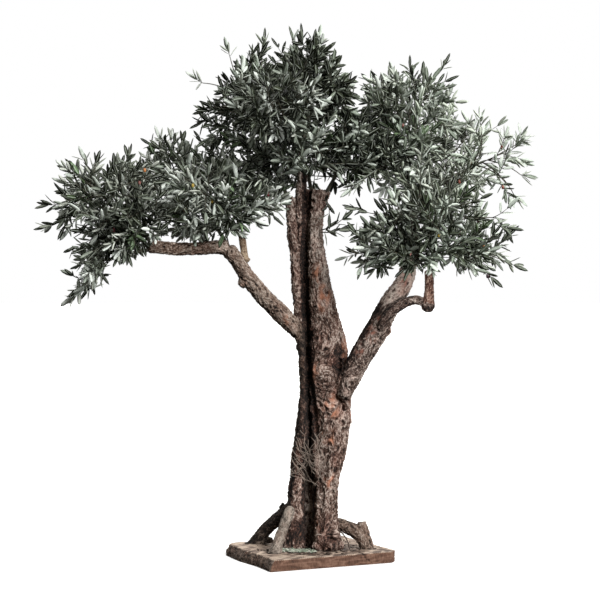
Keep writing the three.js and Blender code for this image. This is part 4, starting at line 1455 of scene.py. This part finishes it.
# Low twigs that hide the top of the trunk and the bare stems, by their ends
SKIRTS = {
    "foliage_centre_left": [[-190, -110, 1510], [-250, 50, 1540], [-130, -170, 1500], [-170, 130, 1510]],
    "foliage_centre_top": [
        [-150, -150, 1575], [50, -170, 1590], [80, 60, 1610], [-160, 100, 1580], [20, 200, 1570],
    ],
    "foliage_centre_front": [[-90, -190, 1540], [-10, -160, 1530]],
    "foliage_right_lower": [
        [400, -260, 1190], [470, -270, 1200], [545, -230, 1200], [300, -230, 1190], [205, -220, 1180],
    ],
    "foliage_left_inner": [[-360, -180, 1400], [-200, -130, 1390], [-160, -60, 1420], [-330, -150, 1320]],
    "foliage_left_outer": [
        [-700, -230, 1310], [-820, -160, 1290], [-640, -220, 1340], [-755, -185, 1262],
        [-715, -165, 1262], [-690, -170, 1245],
    ],
    "foliage_left_droop": [[-700, -170, 1245], [-745, -210, 1230]],
    "foliage_right_upper": [[240, -30, 1640], [290, -70, 1560], [330, 60, 1600]],
    "foliage_left_back": [[-420, 300, 1560], [-330, 200, 1600]],
}
# Twigs that fill the outline between the masses, by their ends, [x, y, z, far]. Where far is 1,
# their sprays may reach far into the next mass, as those of the low twigs may.
FILL_TWIGS = {
    "foliage_centre_top": [
        [-100, -50, 1990, 0], [-70, 60, 1980, 1], [-40, -120, 1960, 0], [118, -30, 1850, 1],
        [165, -20, 1815, 1],
    ],
    "foliage_centre_left": [
        [-190, -60, 1985, 0], [-250, 0, 1965, 0], [-330, -30, 1860, 0], [-210, 90, 1970, 0],
    ],
    "foliage_right_upper": [[205, -10, 1835, 0], [440, -40, 1570, 1]],
    "foliage_right_lower": [[420, -120, 1470, 1], [540, -110, 1490, 1]],
    "foliage_right_outer": [[560, -70, 1500, 1]],
}


def arched_twig(mass, share, end, arch):
    """A twig from a share of the stem's length to its end, arched by so many millimetres."""
    foot = bezier(mass["stem"], share)[0]
    end = np.array(end, float)
    return foot, (foot + end) / 2 + [0, 0, arch], end


def added_twigs(name, mass):
    """The low and filling twigs of a mass, as (curve, kind, None)."""
    twigs = []
    for number, end in enumerate(SKIRTS.get(name, [])):
        twigs.append((arched_twig(mass, 0.06 + 0.05 * number, end, 45), "skirt", None))
    for *end, far in FILL_TWIGS.get(name, []):
        twigs.append((arched_twig(mass, 0.6, end, 30), "skirt" if far else "plain", None))
    return twigs


# Thin dark twigs with a few leaves that grow out of the main log
LOG_TWIGS = [
    [[42, -44, 1303], [78, -66, 1294], [118, -84, 1310]],
    [[50, -30, 1430], [78, -56, 1430], [76, -66, 1372]],
    [[42, -40, 1310], [86, -60, 1316], [128, -70, 1352]],
]


def many_tubes(name, tubes, material, slot, *nodes):
    """Thin tubes joined as one piece: (points, start radius, end radius, sides) each."""
    parts = []
    for points, start, end, sides in tubes:
        directions = unit(np.gradient(points, axis=0))
        radii = np.linspace(start, end, len(points))
        parts.append(tube(points, directions, np.stack([radii, radii], 1), sides))
    piece = make_object(name, *join(parts), [material], smooth=True)
    place(piece, slot, *nodes)


def build_foliage():
    """Every mass's twigs and leaves. Gives the sprays, for the olives to hang on."""
    materials = [
        leaf_material("polyester_leaf_top", LEAF_TOP_TONES, "#aab1a6", 0.55, 0.46),
        leaf_material("polyester_leaf_back", LEAF_BACK_TONES, "#6c736b", 0.3, 0.62),
    ]
    tubes = []
    all_sprays = []
    for name, mass in MASSES.items():
        draw = seeded(mass["seed"] + 5000)
        paint = seeded(mass["seed"] + 9000)
        stem_radii = mass.get("stem_shown", STEM_SHOWN)
        tubes.append((bezier(mass["stem"], np.linspace(0, 1, 16)), *stem_radii, STEM_SIDES))
        groups = []
        if name == "foliage_centre_right":
            for points in LOG_TWIGS:
                log_twig = tuple(np.array(points, float))
                tubes.append((bezier(log_twig, np.linspace(0, 1, 9)), *LOG_TWIG_TUBE))
                groups.append((leaves_of(log_twig, draw), 0.3, 0.0))
        twigs = main_twigs(name, mass) + added_twigs(name, mass)
        for curve, _, _ in twigs:
            tubes.append((bezier(curve, np.linspace(0, 1, 9)), *TWIG_TUBE))
        twigs.append((mass["stem"], mass.get("low", "plain"), None))
        for curve, kind, tip in twigs:
            for spray in sprays_of(name, mass, curve, kind, tip, draw):
                tubes.append((bezier(spray, np.linspace(0, 1, 6)), *SPRAY_TUBE))
                tone, fresh = spray_tone(mass, paint)
                groups.append((leaves_of(spray, draw), tone, fresh))
                all_sprays.append(spray)
        build_leaves(name, groups, materials)
    many_tubes("wire_twigs", tubes, twig_material(), "olive_foliage", *MASSES)
    return all_sprays


sprays = build_foliage()


# Olives where the photo shows them, [x, z, colour], each hung on the nearest spray in front
OLIVE_COLOURS = [
    ("#9c8434", "#bfa348"), ("#9a5b2e", "#bd7a42"), ("#70382b", "#925446"), ("#5f2028", "#853640"),
    ("#94605a", "#bb827a"), ("#27141c", "#432532"),
]
OLIVES = [
    [-580, 1566, 1], [-661, 1468, 0], [-738, 1312, 3], [-609, 1492, 4], [-485, 1628, 3],
    [-352, 1566, 2], [-389, 1446, 0], [-382, 1426, 0], [-428, 1464, 0], [-478, 1391, 1],
    [-162, 1468, 3], [-210, 1950, 1], [-40, 1944, 1], [365, 1762, 4], [255, 1706, 4],
    [737, 1661, 2], [681, 1577, 1], [735, 1514, 2], [603, 1469, 2], [497, 1304, 0],
    [574, 1316, 2], [661, 1332, 3], [700, 1262, 1], [680, 1230, 1], [692, 1164, 5],
    [568, 1141, 5], [375, 1203, 4],
]
OLIVE_SIZE = (6, 6, 8.5)


def build_olives():
    materials = [
        olive_material(f"moulded_olive_{i}", *colours) for i, colours in enumerate(OLIVE_COLOURS)
    ]
    points = np.array([bezier(spray, 0.6)[0] for spray in sprays])
    parts = []
    kinds = []
    for x, z, kind in OLIVES:
        apart = np.hypot(points[:, 0] - x, points[:, 2] - z)
        x, y, z = points[(apart + 0.12 * points[:, 1]).argmin()]
        parts.append(ball(x, y - 6, z - 10, *OLIVE_SIZE, rings=9, sides=10))
        kinds += [kind] * len(parts[-1][1])
    piece = make_object("olives", *join(parts), materials, smooth=True)
    piece.data.polygons.foreach_set("material_index", kinds)
    place(piece, "olive_foliage", *MASSES)


build_olives()


# Small dry things on the trunk and board
TRUNK_SURFACE = BVHTree.FromObject(trunk, bpy.context.evaluated_depsgraph_get())
THIN_FIBRE = (1.1, 0.7, 4)
IN_FRONT = -600
# The tangle of fibre over the groove: its middle and its spread in the view, [x, z]
FIBRES = 36
TANGLE_MIDDLE = (-4, 396)
TANGLE_SPREAD = (110, 130)
FIBRE_SMOOTHINGS = 6
# The moss lies in a slanting strip on the board
MOSS_SHREDS = 150
GREEN_SHREDS = 100
MOSS_CORNER = (-112, -150)
MOSS_SPREAD = (130, 74)
# The crumbs lie in a ring on the board: its middle, and its inner edge and width
CRUMBS = 260
CRUMB_MIDDLE = (20, -10)
CRUMB_RING = (70, 150)
CRUMB_EDGES = (240, 225)


def front_of_trunk(x, z, off):
    """The point in front of the trunk's bark at a place in the view."""
    hit, normal, _, _ = TRUNK_SURFACE.ray_cast(Vector((x, IN_FRONT, z)) * MM, Vector((0, 1, 0)))
    if hit is None:
        return None
    return np.array(hit) / MM + np.array(normal) * off


def build_fibres():
    """A tangle of dry bark fibre that hangs over the groove, in long crossing arcs."""
    draw = seeded(911)
    tubes = []
    for _ in range(FIBRES):
        middle_x, middle_z = (
            middle + spread * (draw() - 0.5) for middle, spread in zip(TANGLE_MIDDLE, TANGLE_SPREAD)
        )
        steep = draw() < 0.74
        angle = math.radians(-52 + 44 * (draw() - 0.5)) if steep else math.radians(30 + 50 * draw())
        length = 70 + 110 * draw()
        arch = 60 * (draw() - 0.8)
        off = 5 + 12 * draw()
        points = []
        for share in np.linspace(-0.5, 0.5, 9):
            x = middle_x + share * length * math.cos(angle)
            z = middle_z + share * length * math.sin(angle) + arch * (0.5 - 2 * share * share)
            points.append(front_of_trunk(x, z, off))
        points = [point for point in points if point is not None]
        if len(points) < 6:
            continue
        path = np.array(points)
        for _ in range(FIBRE_SMOOTHINGS):
            path[1:-1, 1] = np.minimum(path[1:-1, 1], 0.5 * (path[:-2, 1] + path[2:, 1]))
        tubes.append((path, *THIN_FIBRE))
    fibre = dry_material("dry_bark_fibre", "#74665c", "#a59689")
    many_tubes("dry_fibre_tangle", tubes, fibre, "bark", "trunk")


def build_moss():
    """Shreds of pale moss on the board at the foot of the trunk."""
    draw = seeded(77)
    tubes = []
    for _ in range(MOSS_SHREDS):
        x = MOSS_CORNER[0] + MOSS_SPREAD[0] * draw()
        y = MOSS_CORNER[1] + MOSS_SPREAD[1] * draw() - 0.18 * x
        length = 8 + 18 * draw()
        angle = math.pi * draw()
        rise = 1.5 + 5 * draw() ** 2
        points = []
        for share in np.linspace(-0.5, 0.5, 5):
            wave = 3 * math.sin(6 * share + angle)
            points.append([
                x + share * length * math.cos(angle) - wave * math.sin(angle),
                y + share * length * math.sin(angle) + wave * math.cos(angle),
                BOARD_TOP + 0.6 + rise * (1 - 4 * share * share),
            ])
        tubes.append((np.array(points), *THIN_FIBRE))
    green = dry_material("shredded_moss", "#6f7d6a", "#a1ad99")
    white = dry_material("bleached_moss", "#b5b7a8", "#dadacf")
    many_tubes("moss_shreds_green", tubes[:GREEN_SHREDS], green, "board_wood", "base_board")
    many_tubes("moss_shreds_white", tubes[GREEN_SHREDS:], white, "board_wood", "base_board")


def build_crumbs():
    """Crumbs of dark bark on the board round the feet."""
    draw = seeded(311)
    parts = []
    for _ in range(CRUMBS):
        angle = 2 * math.pi * draw()
        far = CRUMB_RING[0] + CRUMB_RING[1] * draw() ** 1.6
        x = CRUMB_MIDDLE[0] + 1.15 * far * math.cos(angle)
        y = CRUMB_MIDDLE[1] + far * math.sin(angle)
        size = 1.4 + 3.4 * draw() ** 2
        along, across, _ = turned(np.array([x, y, 0.0]), -BOARD_TURN)
        if abs(along) > CRUMB_EDGES[0] or abs(across) > CRUMB_EDGES[1]:
            continue
        parts.append(ball(x, y, BOARD_TOP + 0.3 * size, size * (1 + draw()), size, size * 0.7, 5, 6))
    crumb = dry_material("bark_crumb", "#231a15", "#4b3d34")
    piece = make_object("bark_crumbs", *join(parts), [crumb])
    place(piece, "bark", "base_board")


def build_rootlets():
    """A thin curved rootlet by the right foot, a pale wisp and a low piece of root behind."""
    rootlet = np.array([[112, -60, 120], [128, -66, 108], [142, -68, 90], [152, -68, 68], [157, -68, 46]])
    wisp = np.array([[18, -98, 104], [28, -102, 110], [38, -103, 110], [46, -100, 106]])
    bark = dry_material("dry_rootlet", "#3b302a", "#5a4b42")
    pale = dry_material("dry_wisp", "#b5a698", "#d8ccc0")
    many_tubes("thin_rootlet", [(rootlet, 3.2, 2.2, 6)], bark, "bark", "trunk")
    many_tubes("pale_wisp", [(wisp, 1.0, 0.6, 4)], pale, "bark", "trunk")
    stations = [[-214, 84, 50, 14], [-186, 76, 56, 15], [-156, 66, 62, 12]]
    piece = make_object("low_root_bark", *limb_tube(stations, 14), [BARKS["dark"]])
    carve_bark(piece, [stations], depth=2.6, voxel=2.2)
    cut_at_board(piece)
    place(piece, "dark_bark", "prop_rear_left")


build_fibres()
build_moss()
build_crumbs()
build_rootlets()


# Floor and light
FLOOR_HALF_SIZE = 400000
FLOOR_DROP = 0.4


def add_floor():
    """A pale floor with a soft shadow, which lights nothing and isn't mirrored."""
    corners = [[x, y, -FLOOR_DROP] for x, y in ((-1, -1), (1, -1), (1, 1), (-1, 1))]
    material, _, _ = new_material(
        "pale_floor", Base_Color=linear("#fbfbfa"), Roughness=0.95,
        Emission_Color=linear("#ffffff"), Emission_Strength=0.3,
    )
    spread = [FLOOR_HALF_SIZE, FLOOR_HALF_SIZE, 1]
    floor = make_object("floor", np.array(corners) * spread, [(0, 1, 2, 3)], [material])
    floor.visible_diffuse = False
    floor.visible_glossy = False


def add_light(name, kind, strength, stand, aim=(0, 0, 0), **shape):
    """A studio light that stands at a place, in metres, and points at its aim."""
    data = bpy.data.lights.new(name, kind)
    data.energy = strength
    for setting, value in shape.items():
        setattr(data, setting, value)
    light = add_object(name, data)
    light.location = stand
    light.rotation_euler = (Vector(stand) - Vector(aim)).to_track_quat("Z", "Y").to_euler()


def add_world():
    """Soft room light, dimmer from below, before a white background."""
    world = bpy.data.worlds.new("studio")
    bpy.context.scene.world = world
    world.use_nodes = True
    tree = world.node_tree
    background = tree.nodes["Background"]
    in_room = add_node(tree, "TexCoord").outputs["Generated"]
    height = add_node(tree, "SeparateXYZ", {"Vector": in_room}).outputs["Z"]
    room = add_node(
        tree, "MapRange",
        {"Value": height, "From Min": -0.6, "From Max": 0.9, "To Min": 0.03, "To Max": 0.165},
    )
    straight = add_node(tree, "LightPath").outputs["Is Camera Ray"]
    seen = add_node(tree, "Math", {0: straight, 1: room.outputs[0]}, operation="MAXIMUM")
    colour = add_node(
        tree, "Mix", {"Factor": straight, 6: linear("#fffbe6"), 7: linear("#ffffff")}, data_type="RGBA"
    )
    tree.links.new(colour.outputs[2], background.inputs["Color"])
    tree.links.new(seen.outputs[0], background.inputs["Strength"])


add_floor()
add_world()
add_light("key", "SUN", 4.25, (0.6, -0.95, 0.72), angle=math.radians(24))
add_light("right_fill", "SUN", 1.9, (0.9, -0.75, 0.06), angle=math.radians(34))
add_light(
    "bough_light", "SPOT", 60, (0.5, -1.4, 0.92), (0.37, 0.0, 1.11),
    spot_size=math.radians(17), spot_blend=0.9, shadow_soft_size=0.1,
)
add_light("rim", "SUN", 2.0, (0.3, 0.85, 0.55), angle=math.radians(40))
add_light("left_back", "SUN", 1.4, (-0.85, 0.5, 0.45), angle=math.radians(40))
bpy.context.scene.view_settings.view_transform = "Standard"
